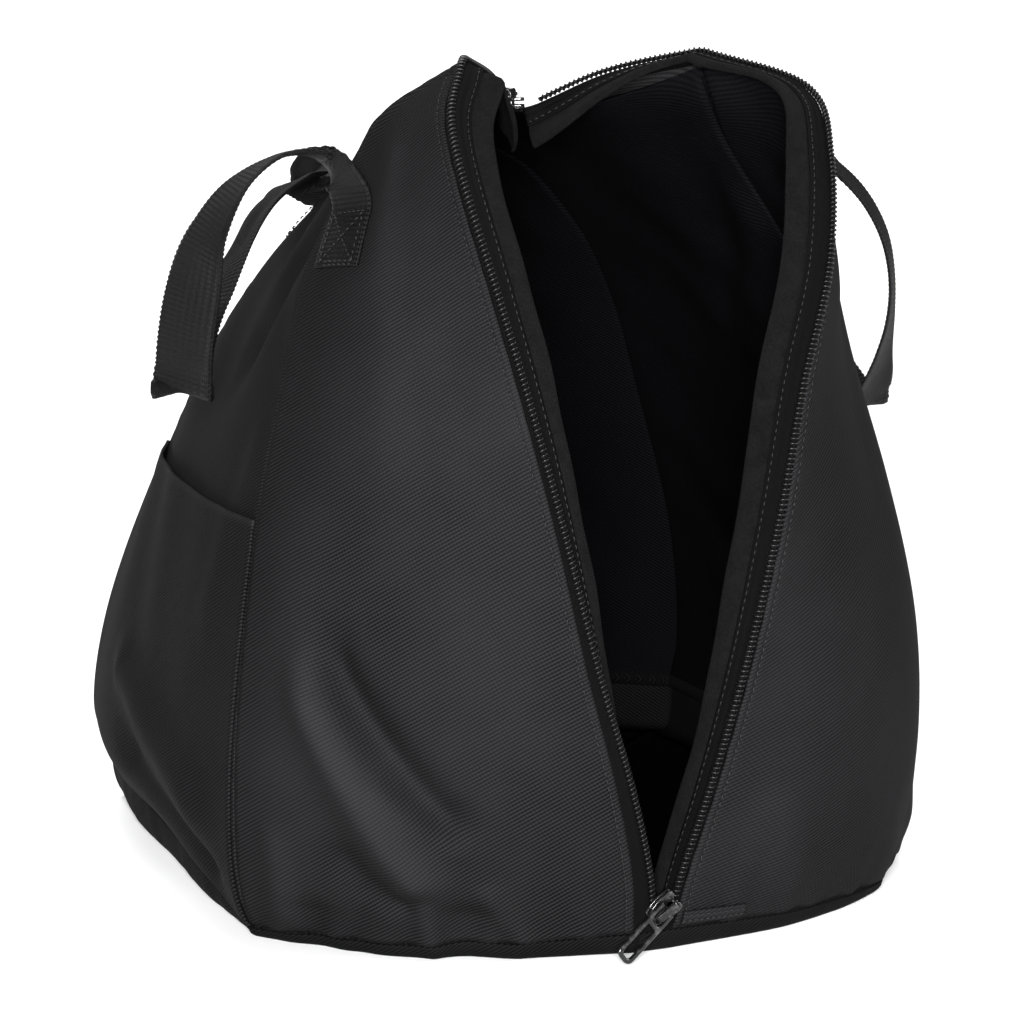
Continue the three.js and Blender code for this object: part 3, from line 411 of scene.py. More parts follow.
def body_stations(values, side):
    row = dict(zip(BODY_COLUMNS, values))
    plan = {name: np.array([row[f"{name}_x"] * HALF_WIDTH, row[f"{name}_y"] * HALF_DEPTH])
            for name in (side, "seam", "side", "back")}
    edge, seam, middle, back = (plan[name] for name in (side, "seam", "side", "back"))
    tail = np.array([TAIL_X * HALF_WIDTH, row["tail_y"] * HALF_DEPTH])
    crown = row[f"{side}_crown"] * HALF_WIDTH
    side_crown = SIDE_CROWN * HALF_WIDTH
    flat = [edge, swelling(edge, seam, 1 / 3, crown * .85), swelling(edge, seam, 2 / 3, crown), seam,
            swelling(seam, middle, 1 / 2, side_crown), middle, swelling(middle, back, 1 / 2, side_crown),
            back, swelling(back, tail, 1 / 2, row["rear_crown"] * HALF_WIDTH), tail]
    points = []
    for k, place in enumerate(flat):
        to_seam = abs(place[0] - edge[0]) / (seam[0] - edge[0])
        to_back = min((place[1] - seam[1]) / (back[1] - seam[1]), 1)
        if row["back_z"] > row["seam_z"]:
            to_back = math.sqrt(max(to_back, 0))
        low, high, share = (("front_z", "seam_z", to_seam) if k < 3 else ("seam_z", "back_z", to_back))
        points.append([*place, (row[low] + (row[high] - row[low]) * share) * HEIGHT])
    return points


def half_net(side):
    crest = [[x * HALF_WIDTH, y * HALF_DEPTH, z * HEIGHT] for x, y, z in CREST[side]]
    return np.array([*[body_stations(values, side) for values in BODY], crest])


NETS = {side: half_net(side) for side in mirror}
print("net of each half:", NETS["left"].shape)

# %% [markdown]
# A Catmull-Rom line is the smooth line that goes through its points. We use it twice: up the rows,
# and then along the stations inside one panel, so each panel is smooth while the seams may crease.

# %% Smooth lines and the bag's surface


def smooth_line(points, places):
    """Points of a smooth line at places from 0 to len(points) - 1; works on the first axis."""
    points = np.asarray(points, float)
    places = np.atleast_1d(np.asarray(places, float))
    ends = np.concatenate([[2 * points[0] - points[1]], points, [2 * points[-1] - points[-2]]])
    k = np.clip(np.floor(places).astype(int), 0, len(points) - 2)
    f = (places - k).reshape((-1,) + (1,) * (points.ndim - 1))
    a, b, c, d = ends[k], ends[k + 1], ends[k + 2], ends[k + 3]
    return b + f / 2 * (c - a + f * (2 * a - 5 * b + 4 * c - d + f * (3 * (b - c) + d - a)))


def bag_surface(side, part, stations, rows):
    """Plain outer surface of one panel, rows by stations by 3."""
    start, end = PANELS[part]
    lines = smooth_line(NETS[side][:, start:end + 1], rows)
    points = np.moveaxis(smooth_line(np.moveaxis(lines, 1, 0), np.asarray(stations) - start), 0, 1)
    return points * [mirror[side], 1, 1]


def unit(vectors):
    return vectors / np.maximum(np.linalg.norm(vectors, axis=-1, keepdims=True), 1e-12)


def square_to(vectors, run):
    """Unit vectors with their part along the run taken out."""
    return unit(vectors - run * np.einsum("...i,...i->...", vectors, run)[..., None])


def grid_normals(points, side):
    """Outward normals of a grid, each a mean of the faces round it by their size."""
    a, b, c, d = points[:-1, :-1], points[:-1, 1:], points[1:, 1:], points[1:, :-1]
    first, second = np.cross(b - a, c - a), np.cross(c - a, d - a)
    sums = np.zeros_like(points)
    for piece, corners in ((first, ((0, 0), (0, 1), (1, 1))), (second, ((0, 0), (1, 1), (1, 0)))):
        for j, i in corners:
            sums[j:j + piece.shape[0], i:i + piece.shape[1]] += piece
    normals = unit(sums) * mirror[side]
    padded = np.pad(normals, ((1, 1), (1, 1), (0, 0)), mode="edge")
    near = padded[:-2, 1:-1] + padded[2:, 1:-1] + padded[1:-1, :-2] + padded[1:-1, 2:]
    return unit(normals + .35 * near)


# %% [markdown]
# Folds tell the eye that this is cloth. Each main fold runs between two places of the net, with a
# width and a depth, and is a smooth ridge or valley along that line. The first ten or so are those
# of the solids; the finer ones below them are for the looks alone.

# %% Folds
FOLDS = {
    "left": [
        [2.32, 2.8, 1.57, 1.1, .080, .036], [2.10, 3.0, 1.30, 1.8, .070, -.036],
        [2.10, 1.3, 1.72, 0.8, .055, -.020], [2.40, 0.5, 2.45, 0.0, .065, -.018],
        [1.20, 0.5, 1.25, 0.0, .065, -.018], [2.55, 3.7, 2.70, 0.5, .150, .020],
        [3.40, 6.4, 4.40, 5.2, .085, -.034], [5.40, 2.1, 3.80, 1.5, .090, .030],
        [5.20, 1.2, 3.60, 0.6, .090, -.034], [7.70, 6.0, 8.20, 3.0, .140, -.026],
    ],
    "right": [
        [3.40, 6.3, 4.50, 5.0, .085, -.030], [5.60, 3.0, 4.40, 1.2, .120, -.024],
        [6.20, 2.6, 5.00, 0.8, .100, .022], [7.60, 6.0, 8.20, 3.0, .140, -.026],
        [2.50, 0.9, 2.85, 0.0, .100, .016],
    ],
}
FINE_FOLDS = {
    "left": [
        [1.05, 0.9, 0.85, 0.1, .040, .010], [1.55, 0.7, 1.50, 0.0, .035, .012],
        [2.00, 0.9, 2.10, 0.0, .040, -.010], [2.65, 1.4, 2.60, 0.2, .045, .010],
        [1.75, 2.0, 1.25, 1.5, .040, .010], [0.75, 5.4, 0.55, 3.0, .110, -.008],
        [2.28, 2.7, 1.62, 1.15, .050, .016], [2.08, 2.95, 1.34, 1.75, .045, -.018],
        [1.60, 7.2, 1.45, 4.6, .120, .010], [3.30, 4.4, 3.60, 3.2, .070, .010],
    ],
    "right": [
        [0.60, 1.6, 1.00, 0.2, .070, .008], [1.80, 1.3, 2.10, 0.1, .060, .010],
        [1.40, 5.6, 1.70, 3.6, .120, -.008], [0.60, 7.6, 0.80, 5.8, .090, .008],
    ],
}
STATION_LENGTH = .36 * HALF_WIDTH
ROW_LENGTH = .125 * HEIGHT


def fold_height(side, stations, rows, fine=True):
    """How far the folds lift the cloth at each place."""
    place = np.stack(np.meshgrid(np.asarray(stations) * STATION_LENGTH, np.asarray(rows) * ROW_LENGTH), -1)
    height = np.zeros(place.shape[:2])
    for s0, r0, s1, r1, width, depth in FOLDS[side] + (FINE_FOLDS[side] if fine else []):
        start = np.array([s0 * STATION_LENGTH, r0 * ROW_LENGTH])
        run = np.array([s1 * STATION_LENGTH, r1 * ROW_LENGTH]) - start
        reach = place - start
        share = np.clip((reach @ run) / (run @ run), 0, 1)
        away = np.linalg.norm(reach - share[..., None] * run, axis=-1) / (width * HALF_WIDTH)
        height += depth * HALF_WIDTH * np.exp(-away ** 2)
    return height


def folded_surface(side, part, stations, rows, fine=True):
    """Points and normals of one panel with its folds."""
    plain = bag_surface(side, part, stations, rows)
    normals = grid_normals(plain, side)
    points = plain + normals * fold_height(side, stations, rows, fine)[..., None]
    return points, grid_normals(points, side)


# %% [markdown]
# Next the tools that turn points into pieces. A cloth piece is a "wall": an outer sheet, an inner
# sheet and the rims that join them, so it has a real thickness and a closed mesh. mesh_object() gives a
# mesh its material, its weave map and its lightening for wear and painted highlight, and dress() hangs
# it on its body and hides the solid that it stands for.

# %% Mesh helpers


def run_lengths(points):
    """Distance travelled along the second axis, starting at 0."""
    steps = np.linalg.norm(np.diff(points, axis=1), axis=-1)
    return np.concatenate([np.zeros((len(points), 1)), np.cumsum(steps, axis=1)], axis=1)


def edge_distances(points):
    """Distances to the first and last column and to the first and last row."""
    across = run_lengths(points)
    along = run_lengths(points.swapaxes(0, 1)).swapaxes(0, 1)
    return across, across[:, -1:] - across, along, along[-1:] - along


def weave_of(points):
    """Place on the cloth in millimetres for each point of a grid."""
    across, _, along, _ = edge_distances(points)
    return np.stack([across, along], -1) / MM


def flat_weave(side, part, stations, rows):
    """As weave_of, for a panel cut from one flat cloth: level to the right, and up along the cloth."""
    points = bag_surface(side, part, stations, rows)
    facing = grid_normals(points, side).mean((0, 1)) * [1, 1, 0]
    level = unit(np.cross([0, 0, 1], facing))
    steps = np.diff(points, axis=0)
    climb = np.linalg.norm(steps - (steps @ level)[..., None] * level, axis=-1)
    up = points[:1, :, 2] + np.concatenate([np.zeros((1, points.shape[1])), np.cumsum(climb, axis=0)])
    return np.stack([points @ level, up], -1) / MM


def wall_faces(rows, columns):
    front, back = np.arange(rows * columns * 2).reshape(2, rows, columns)
    corners = (
        (front[:-1, :-1], front[:-1, 1:], front[1:, 1:], front[1:, :-1]),
        (back[:-1, :-1], back[1:, :-1], back[1:, 1:], back[:-1, 1:]),
        (front[0, 1:], front[0, :-1], back[0, :-1], back[0, 1:]),
        (front[-1, :-1], front[-1, 1:], back[-1, 1:], back[-1, :-1]),
        (front[:-1, 0], front[1:, 0], back[1:, 0], back[:-1, 0]),
        (front[1:, -1], front[:-1, -1], back[:-1, -1], back[1:, -1]),
    )
    return np.concatenate([np.stack([c.ravel() for c in four], -1) for four in corners])


def signed_volume(quads):
    """Six times the volume inside the quads, below 0 when they face inwards."""
    a, b, c, d = quads.swapaxes(0, 1)
    return np.einsum("ij,ij->i", a, np.cross(b, c) + np.cross(c, d)).sum()


def mesh_object(name, points, faces, material, weave=None, wear_and_highlight=None):
    """A smooth-shaded object from points and faces, turned so that its faces point outwards."""
    faces = faces.tolist() if isinstance(faces, np.ndarray) else faces
    if signed_volume(points[np.array([face for face in faces if len(face) == 4])]) < 0:
        faces = [face[::-1] for face in faces]
    mesh = bpy.data.meshes.new(name)
    mesh.from_pydata(points.tolist(), [], faces)
    mesh.polygons.foreach_set("use_smooth", np.ones(len(mesh.polygons), bool))
    corners = np.zeros(len(mesh.loops), int)
    mesh.loops.foreach_get("vertex_index", corners)
    flat = np.zeros((len(points), 2)) if weave is None else weave
    mesh.uv_layers.new(name=WEAVE).data.foreach_set("uv", flat[corners].astype(np.float32).ravel())
    worn_and_highlit = np.zeros(len(points)) if wear_and_highlight is None else wear_and_highlight
    mesh.attributes.new("wear_and_highlight", "FLOAT", "POINT").data.foreach_set("value", worn_and_highlit.astype(np.float32))
    mesh.materials.append(material)
    mesh.update()
    return new_object(name, mesh)


def dress(piece, slot, *nodes, body="bag"):
    """The piece rides on a body and stands for the solids named, which it hides; slot is not used."""
    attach(piece, body)
    if nodes:
        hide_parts(*nodes)
    print(piece.name, len(piece.data.polygons), "faces")
    return piece


def wall_object(name, front, back, material, weave=None, wear_and_highlight=None):
    """A closed wall from its outer and inner sheet; the two share their weave and their lightening for wear and
    painted highlight.
    """
    points = np.concatenate([front.reshape(-1, 3), back.reshape(-1, 3)])
    weave = np.tile((weave_of(front) if weave is None else weave).reshape(-1, 2), (2, 1))
    worn_and_highlit = None if wear_and_highlight is None else np.tile(wear_and_highlight.ravel(), 2)
    return mesh_object(name, points, wall_faces(*front.shape[:2]), material, weave, worn_and_highlit)


def read_line(values, known, at):
    """Rows of values at known distances, read at other distances along straight steps."""
    return np.stack([np.interp(at, known, column) for column in values.T], -1)


def ring_faces(rings, count):
    """Quads between neighbouring rings, each ring closed on itself."""
    index = np.arange(rings * count).reshape(rings, count)
    follow = np.roll(index, -1, 1)
    return np.stack([index[:-1], follow[:-1], follow[1:], index[1:]], -1).reshape(-1, 4)


def tube_rings(centre, x, y, sides):
    """Rings of points round each centre, given the two half axes of the ring as vectors."""
    turn = np.linspace(0, 2 * math.pi, sides, endpoint=False)[:, None]
    return centre[..., None, :] + x[..., None, :] * np.cos(turn) + y[..., None, :] * np.sin(turn)


# %% [markdown]
# The six outer panels. The raw edge of each is turned under: beside a seam the cloth rolls inwards
# and leaves a fine valley, and along the zip it forms a hem, a small rounded ridge with a stitched
# groove behind it. Cloth that is gathered by a seam puckers, so short ripples fade away from it.

# %% Panel edges
EDGE_STEPS = np.array([0, .4, .9, 1.5, 2.1, 2.8, 3.4, 4.0, 4.8, 6.0]) * MM
SEAM_DIP = .9 * MM
SEAM_ROLL = 1.3 * MM
HEM_RISE = .12 * MM
HEM_AT = 1.6 * MM
HEM_WIDTH = 1.1 * MM
HEM_GROOVE_AT = 3.4 * MM
HEM_GROOVE_DEPTH = .3 * MM
HEM_GROOVE_WIDTH = .55 * MM
RIM_DROP = .5 * MM
PUCKER = .22 * MM
PUCKER_REACH = 9 * MM
PUCKER_PITCHES = (15 * MM, 13 * MM)
BASE_PUCKER = .9 * MM
BASE_PUCKER_REACH = 16 * MM
BASE_PUCKER_PITCH = 21 * MM
SLOW_WAVE = .38 * MM
SLOW_WAVE_LENGTHS = [(31 * MM, 52 * MM, 1.0), (47 * MM, -36 * MM, 1.0), (19 * MM, 83 * MM, .7)]
CALM_REACH = 12 * MM


def edge_shares(length, count):
    """Shares from 0 to 1 with close steps near both ends, for a length in metres."""
    near = EDGE_STEPS / length
    return np.concatenate([near, np.linspace(near[-1], 1 - near[-1], count)[1:-1], 1 - near[::-1]])


def hump(distance, middle, width):
    """A smooth hump, 1 in its middle and near 0 from two widths away."""
    return np.exp(-((distance - middle) / width) ** 2)


def seam_profile(distance):
    return -SEAM_DIP * hump(distance, 0, SEAM_ROLL)


def hem_profile(distance):
    return (HEM_RISE * hump(distance, HEM_AT, HEM_WIDTH)
            - HEM_GROOVE_DEPTH * hump(distance, HEM_GROOVE_AT, HEM_GROOVE_WIDTH)
            - RIM_DROP * hump(distance, 0, RIM_DROP))


def ripple(place, pitch, phase):
    """Uneven waves along a seam, from two pitches that never quite repeat."""
    turn = 2 * math.pi / pitch
    return np.sin(turn * place + phase) * .6 + np.sin(turn * 1.618 * place + 2.3 * phase) * .4


def slow_waves(across, along, phase):
    """The gentle unevenness of cloth that has been folded and stuffed."""
    return SLOW_WAVE * sum(share * np.sin(across / wide + along / tall + (k + 1) * phase)
                           for k, (wide, tall, share) in enumerate(SLOW_WAVE_LENGTHS))


# %% [markdown]
# panel_cloth() puts it together: points of the panel, distances to its four edges, and the heights
# that the hem, the seam, the puckers and the slow waves add. The value that lightens the cloth grows on
# the rolled edges, where a real bag gets rubbed first, and on fold crests as a painted highlight.

# %% Panels
PANEL_SPACING = 2.3 * MM
EDGE_WEAR = .12
# Fold height at which the painted highlight on a crest is full.
CREST_HIGHLIGHT_AT = 9 * MM
PANEL_EDGES = {"front": ("hem", "seam"), "side": ("seam", "seam"), "rear": ("seam", "hem")}
PHASES = {("left", "front"): .4, ("left", "side"): 1.9, ("left", "rear"): 3.1,
          ("right", "front"): 4.2, ("right", "side"): 5.5, ("right", "rear"): .9}


def panel_places(side, part):
    """Stations and rows of a panel, close together near its edges."""
    start, end = PANELS[part]
    rough = bag_surface(side, part, np.linspace(start, end, 30), np.linspace(0, CREST_ROW, 60))
    width = run_lengths(rough)[:, -1].max()
    height = run_lengths(rough.swapaxes(0, 1))[:, -1].max()
    across = edge_shares(width, int(width / PANEL_SPACING))
    upward = edge_shares(height, int(height / PANEL_SPACING))
    return start + (end - start) * across, CREST_ROW * upward


def panel_relief(side, part, points):
    first, last, base, crest = edge_distances(points)
    phase = PHASES[side, part]
    profile = {"hem": hem_profile, "seam": seam_profile}
    start_edge, end_edge = PANEL_EDGES[part]
    relief = profile[start_edge](first) + profile[end_edge](last) + seam_profile(base) + hem_profile(crest)
    calm = 1 - np.exp(-np.minimum(crest, first if start_edge == "hem" else last) / CALM_REACH)
    for k, (edge, pitch) in enumerate(zip((first, last), PUCKER_PITCHES)):
        relief += PUCKER * np.exp(-edge / PUCKER_REACH) * ripple(base, pitch, phase + k)
    gathers = ripple(first, BASE_PUCKER_PITCH, phase + 2) * calm
    relief += BASE_PUCKER * np.exp(-base / BASE_PUCKER_REACH) * gathers
    return relief + slow_waves(first, base, phase) * calm


def real_cloth(side, part):
    """Stations, rows, points and normals of a panel as it is, with folds, hems and puckers."""
    stations, rows = panel_places(side, part)
    points, normals = folded_surface(side, part, stations, rows)
    return stations, rows, points + normals * panel_relief(side, part, points)[..., None], normals


def panel_cloth(side, part):
    stations, rows, surface, normals = real_cloth(side, part)
    first, last, base, crest = edge_distances(surface)
    nearest = np.minimum(np.minimum(first, last), np.minimum(base, crest))
    # Fold crests get a painted highlight; the rolled edges get real wear.
    crest_highlight = np.clip(fold_height(side, stations, rows) / CREST_HIGHLIGHT_AT, 0, .5)
    wear_and_highlight = EDGE_WEAR * hump(nearest, HEM_AT, 1.4 * MM) + crest_highlight
    name = f"{side}_{part}_panel"
    weave = flat_weave(side, part, stations, rows)
    dress(wall_object(name + "_cloth", surface, surface - normals * CLOTH, TWILL, weave, wear_and_highlight), "twill", name)


for side in mirror:
    for part in PANELS:
        panel_cloth(side, part)

# %% [markdown]
# The lining hangs just inside. It isn't pulled tight, so it gets deeper and wider waves than the
# outer cloth, always inwards, and it starts behind the fleece guard.

# %% Lining
LINING_DEPTH = CLOTH + LAYER_GAP + TAPE + LAYER_GAP
LINING_SPACING = 4.0 * MM
LINING_SLACK = 1.6 * MM
LINING_WAVES = (60 * MM, 90 * MM)
LINING_SEAM = 1.2 * MM
LINING_TAUT = 14 * MM
LINING_TOP = .955
LINING_WIDTH = 140 * MM
LINING_HEIGHT = 350 * MM
GUARD_STATION = .16


def lining_cloth(side, part):
    start, end = PANELS[part]
    stations = start + (end - start) * edge_shares(LINING_WIDTH, int(LINING_WIDTH / LINING_SPACING))
    stations = stations[stations > GUARD_STATION] if part == "front" else stations
    rows = CREST_ROW * LINING_TOP * edge_shares(LINING_HEIGHT, int(LINING_HEIGHT / LINING_SPACING))
    points, normals = folded_surface(side, part, stations, rows, fine=False)
    first, last, base, crest = edge_distances(points)
    phase = 2 * PHASES[side, part]
    waves = ripple(first, LINING_WAVES[0], phase) * ripple(base, LINING_WAVES[1], phase + 1)
    edges = 1 - np.exp(-np.minimum(np.minimum(first, last), base) / LINING_TAUT)
    seams = hump(first, 0, SEAM_ROLL) + hump(last, 0, SEAM_ROLL)
    depth = LINING_DEPTH + LINING_SLACK * (1 + waves) * edges - LINING_SEAM * seams
    outer = points - normals * depth[..., None]
    weave = flat_weave(side, part, stations, rows)
    return wall_object(f"{side}_{part}_lining_cloth", outer, outer - normals * LINING, LINING_CLOTH, weave)


for side in mirror:
    for part in PANELS:
        dress(lining_cloth(side, part), "lining", *([f"{side}_lining"] if part == "front" else []))

# %% [markdown]
# The base is a dish of the same twill, made darker as painted shade under the bag: a border turned up
# to meet the walls, and a flat bottom. Its outline is the lowest row of both halves in one loop. We
# shrink that loop step by step to make rings, first down the border and then across the bottom to its
# middle.

# %% Base
BASE_RINGS = np.array([[.000, 1.00], [.008, .450], [.030, .080], [.075, .000]])
BASE_BOTTOM_RINGS = 14
BASE_WALL = 2.2 * MM
BORDER_RIPPLE = .35 * MM
BORDER_RIPPLE_PITCH = 26 * MM
BASE_SEAM_GAP = .3 * MM
LOOP_SPACING = 2.5 * MM
SAME_PLACE = 1e-7
BORDER_RINGS = 13


def base_loop():
    """The base seam round both halves, as one closed loop of even steps."""
    sides = {}
    for side in mirror:
        runs = []
        for part, (start, end) in PANELS.items():
            stations = np.linspace(start, end, 60)
            points, _ = folded_surface(side, part, stations, np.array([0, .02]))
            runs.append(points[0])
        sides[side] = np.concatenate(runs)
    loop = np.concatenate([sides["left"], sides["right"][::-1]])
    loop = np.concatenate([loop, loop[:1]])
    distance = run_lengths(loop[None])[0]
    count = int(distance[-1] / LOOP_SPACING)
    even = np.linspace(0, distance[-1], count, endpoint=False)
    keep = np.concatenate([[True], np.diff(distance) > SAME_PLACE])
    return read_line(loop[keep], distance[keep], even)


def inset(loop, distance):
    """The loop moved inwards, level."""
    run = unit((np.roll(loop, -1, 0) - np.roll(loop, 1, 0)) * [1, 1, 0])
    inward = np.stack([run[:, 1], -run[:, 0], np.zeros(len(loop))], -1)
    inward *= -np.sign(np.einsum("ij,ij->i", inward, loop * [1, 1, 0]))[:, None]
    return loop + inward * distance


def base_rings(loop, extra_in=0.0, extra_up=0.0):
    places = np.linspace(0, len(BASE_RINGS) - 1, BORDER_RINGS)
    rings = []
    for share, (away, height) in zip(places / places[-1], smooth_line(BASE_RINGS, places)):
        ring = inset(loop, away * HALF_WIDTH + extra_in * (1 - share))
        ring[:, 2] = (loop[:, 2] - BASE_SEAM_GAP) * max(height, 0) + extra_up * share
        rings.append(ring)
    last = rings[-1]
    middle = last.mean(0)
    for k in range(1, BASE_BOTTOM_RINGS):
        rings.append(middle + (last - middle) * (1 - k / BASE_BOTTOM_RINGS))
    return np.array(rings)


def fanned_stack(name, stack, material, weave):
    """A closed mesh from a stack of rings; a fan of triangles fills the first and the last one."""
    count = stack.shape[1]
    points, flat = (np.concatenate([v.reshape(-1, v.shape[-1]), [v[0].mean(0), v[-1].mean(0)]])
                    for v in (stack, weave))
    near = np.arange(count)
    follow = np.roll(near, -1)
    last = (len(stack) - 1) * count
    faces = ring_faces(len(stack), count).tolist()
    for fan in ((follow, near, near * 0 + len(points) - 2),
                (last + near, last + follow, near * 0 + len(points) - 1)):
        faces += np.stack(fan, -1).tolist()
    return mesh_object(name, points, faces, material, flat)


def base_cloth():
    loop = base_loop()
    distance = run_lengths(np.concatenate([loop, loop[:1]])[None])[0][:-1]
    outer = base_rings(loop)
    fade = hump(np.arange(len(outer)), 4, 3.0)
    ripples = BORDER_RIPPLE * ripple(distance, BORDER_RIPPLE_PITCH, 1.3)
    outer = outer + unit(loop - inset(loop, MM)) * (ripples * fade[:, None])[..., None]
    down = run_lengths(outer.swapaxes(0, 1)).swapaxes(0, 1)
    flat = np.stack([np.broadcast_to(distance, down.shape), down], -1)
    share = np.clip((np.arange(len(outer)) - 10) / 3, 0, 1)[:, None, None]
    weave = (flat * (1 - share) + outer[..., :2] * share) / MM
    stack = np.concatenate([outer[::-1], base_rings(loop, BASE_WALL, BASE_WALL)])
    return fanned_stack("base_panel_cloth", stack, SHADED_BASE_TWILL, np.concatenate([weave[::-1], weave]))


dress(base_cloth(), "twill", "base_panel")

# %% [markdown]
# Inside, the seam allowance round the base is bound with a rolled strip, so that no raw edge frays
# and no daylight shows through the seam. A tube with an oval section along the loop makes it.

# %% Base binding
BINDING_HALF_WIDTH = 1.6 * MM
BINDING_HALF_HEIGHT = 3.2 * MM
BINDING_SIDES = 10


def base_binding():
    loop = base_loop()
    inner = inset(loop, CLOTH + BINDING_HALF_WIDTH)
    inward = unit((inner - loop) * [1, 1, 0])
    rings = tube_rings(inner, inward * BINDING_HALF_WIDTH, np.array([0, 0, BINDING_HALF_HEIGHT]), BINDING_SIDES)
    faces = ring_faces(len(rings) + 1, BINDING_SIDES) % (len(rings) * BINDING_SIDES)
    points = rings.reshape(-1, 3)
    return mesh_object("base_binding", points, faces, ZIP_TAPE, points[:, :2] / MM)


dress(base_binding(), "zip_tape")

# %% [markdown]
# On the inside of the base lies a thin foam pad in lining cloth. A pad is fullest in its middle and
# thin at its sewn rim, so its height follows a rounded curve from the rim inwards.

# %% Base pad
PAD_INSET = .10
PAD_LOW = BASE_WALL + LAYER_GAP
PAD_RIM = .8 * MM
PAD_FULL = 2.4 * MM
PAD_RINGS = 18


def base_pad():
    rim = inset(base_loop(), PAD_INSET * HALF_WIDTH) * [1, 1, 0]
    middle = rim.mean(0)
    shares = np.linspace(1, 1 / PAD_RINGS, PAD_RINGS)
    flat = np.array([middle + (rim - middle) * share for share in shares])
    rise = PAD_RIM + (PAD_FULL - PAD_RIM) * (1 - shares ** 6)
    waves = slow_waves(flat[..., 0], flat[..., 1], 1.1) * .6 * (1 - shares ** 8)[:, None]
    upper = flat + np.array([0, 0, 1]) * (PAD_LOW + rise[:, None] + waves)[..., None]
    stack = np.concatenate([(flat + [0, 0, PAD_LOW])[::-1], upper])
    return fanned_stack("base_pad", stack, LINING_CLOTH, stack[..., :2] / MM)


pad = dress(base_pad(), "lining", "base_lining")

# %% [markdown]
# The zip follows the mouth edge up one half and over the crest. At each step we need a small frame:
# the point on the edge, the cloth's outward normal there, and the direction out into the opening.
# The frames are found at the same coarse places as the solids and then smoothed in between, so that
# tape, guard and coil all share one line.

# %% The mouth edge
ROW_STEPS = 16
SIDE_STEPS = 8
EVENINGS = 2
LOWEST_FACING = .1
SLIDER_STATION = 5
EDGE_SPACING = 1.0 * MM
MEASURED_PLACES = 1600
GUARD_LEAN = {"left": 28, "right": 12}
WIDE_MOUTH = .3 * HALF_WIDTH
TAPE_MIDDLE_DEPTH = CLOTH + LAYER_GAP + TAPE / 2
SLIDER_LENGTH = 13 * MM


def coarse_edge(side):
    rows = np.linspace(0, CREST_ROW, ROW_STEPS + 1)
    front, front_normals = folded_surface(side, "front", np.linspace(0, 3, 10), rows, fine=False)
    stations = np.linspace(3, 7, SIDE_STEPS + 1)
    across, across_normals = folded_surface(side, "side", stations, rows, fine=False)
    last = int((SLIDER_STATION - 3) * SIDE_STEPS / 4) + 1
    points = np.concatenate([front[:, 0], across[-1, :last]])
    normals = np.concatenate([front_normals[:, 0], across_normals[-1, :last]])
    inside = np.concatenate([front[:, 1], across[-2, :last]])
    inside[ROW_STEPS] = front[-2, 1]
    run = unit(np.gradient(points, axis=0))
    normals[:, 2] = np.maximum(normals[:, 2], LOWEST_FACING)
    normals = square_to(normals, run)
    out = np.cross(run, normals)
    out *= np.sign(np.einsum("ij,ij->i", out, points - inside))[:, None]
    for _ in range(EVENINGS):
        normals, out = (unit(2 * v + np.concatenate([v[:1], v[:-1]]) + np.concatenate([v[1:], v[-1:]]))
                        for v in (normals, out))
        out = square_to(out, normals)
    show = np.full(len(points), BODY[-1][-1] * HALF_WIDTH)
    if side == "left":
        table = [row[-1] * HALF_WIDTH for row in BODY]
        show[:ROW_STEPS + 1] = np.interp(rows, np.arange(len(table)), table)
    return points, normals, out, show


def fine_edge(side, start=0.0, end=0.0):
    """Edge frames at even steps, cut short at both ends by the lengths given."""
    points, normals, out, show = coarse_edge(side)
    places = np.linspace(0, len(points) - 1, MEASURED_PLACES)
    distance = run_lengths(edge_line(side, places)[None])[0]
    even = np.arange(start, distance[-1] - end, EDGE_SPACING)
    at = np.interp(even, distance, places)
    normal = unit(smooth_line(normals, at))
    return {"point": edge_line(side, at), "normal": normal, "out": square_to(smooth_line(out, at), normal),
            "show": np.interp(at, np.arange(len(show)), show), "along": even}


def edge_line(side, places):
    """Points of the cloth's real edge: up the front panel, over its tip, along the side panel."""
    rows = np.clip(places, 0, ROW_STEPS) * CREST_ROW / ROW_STEPS
    stations = 3 + np.clip(places - ROW_STEPS - 1, 0, None) * 4 / SIDE_STEPS
    order = np.argsort(rows, kind="stable")
    front, _ = folded_surface(side, "front", np.array([0, .02, .04]), rows[order], fine=False)
    up = np.empty((len(rows), 3))
    up[order] = front[:, 0]
    over, _ = folded_surface(side, "side", np.maximum(stations, 3),
                             np.array([CREST_ROW - .04, CREST_ROW - .02, CREST_ROW]), fine=False)
    share = np.clip(places - ROW_STEPS, 0, 1)[:, None]
    return up * (1 - share) + over[-1] * share


def tape_bend(edge, side):
    """Where the tape turns inwards under the coil, and the directions on both sides of the turn."""
    bend = edge["point"] + edge["out"] * edge["show"][:, None] - edge["normal"] * TAPE_MIDDLE_DEPTH
    gape = np.clip(np.abs(bend[:, 0]) / WIDE_MOUTH, 0, 1)
    turn = np.radians(90 - GUARD_LEAN[side] * gape)[:, None]
    inwards = edge["out"] * np.cos(turn) - edge["normal"] * np.sin(turn)
    facing = edge["out"] * np.sin(turn) + edge["normal"] * np.cos(turn)
    corner = unit(facing + edge["normal"])
    mitre = 1 / np.einsum("ij,ij->i", corner, facing)
    return bend, inwards, facing, corner, mitre[:, None]


EDGES = {side: fine_edge(side, .5 * MM, .5 * MM) for side in mirror}
print("mouth edge frames:", {side: len(edge["point"]) for side, edge in EDGES.items()})

# %% [markdown]
# Three strips follow that edge. The woven tape comes out from under the hem, turns over in a small
# round bend and runs down the inside of the mouth. The fleece guard lies behind it and reaches
# further in. strip() builds any such piece from a list of cross-section lines.

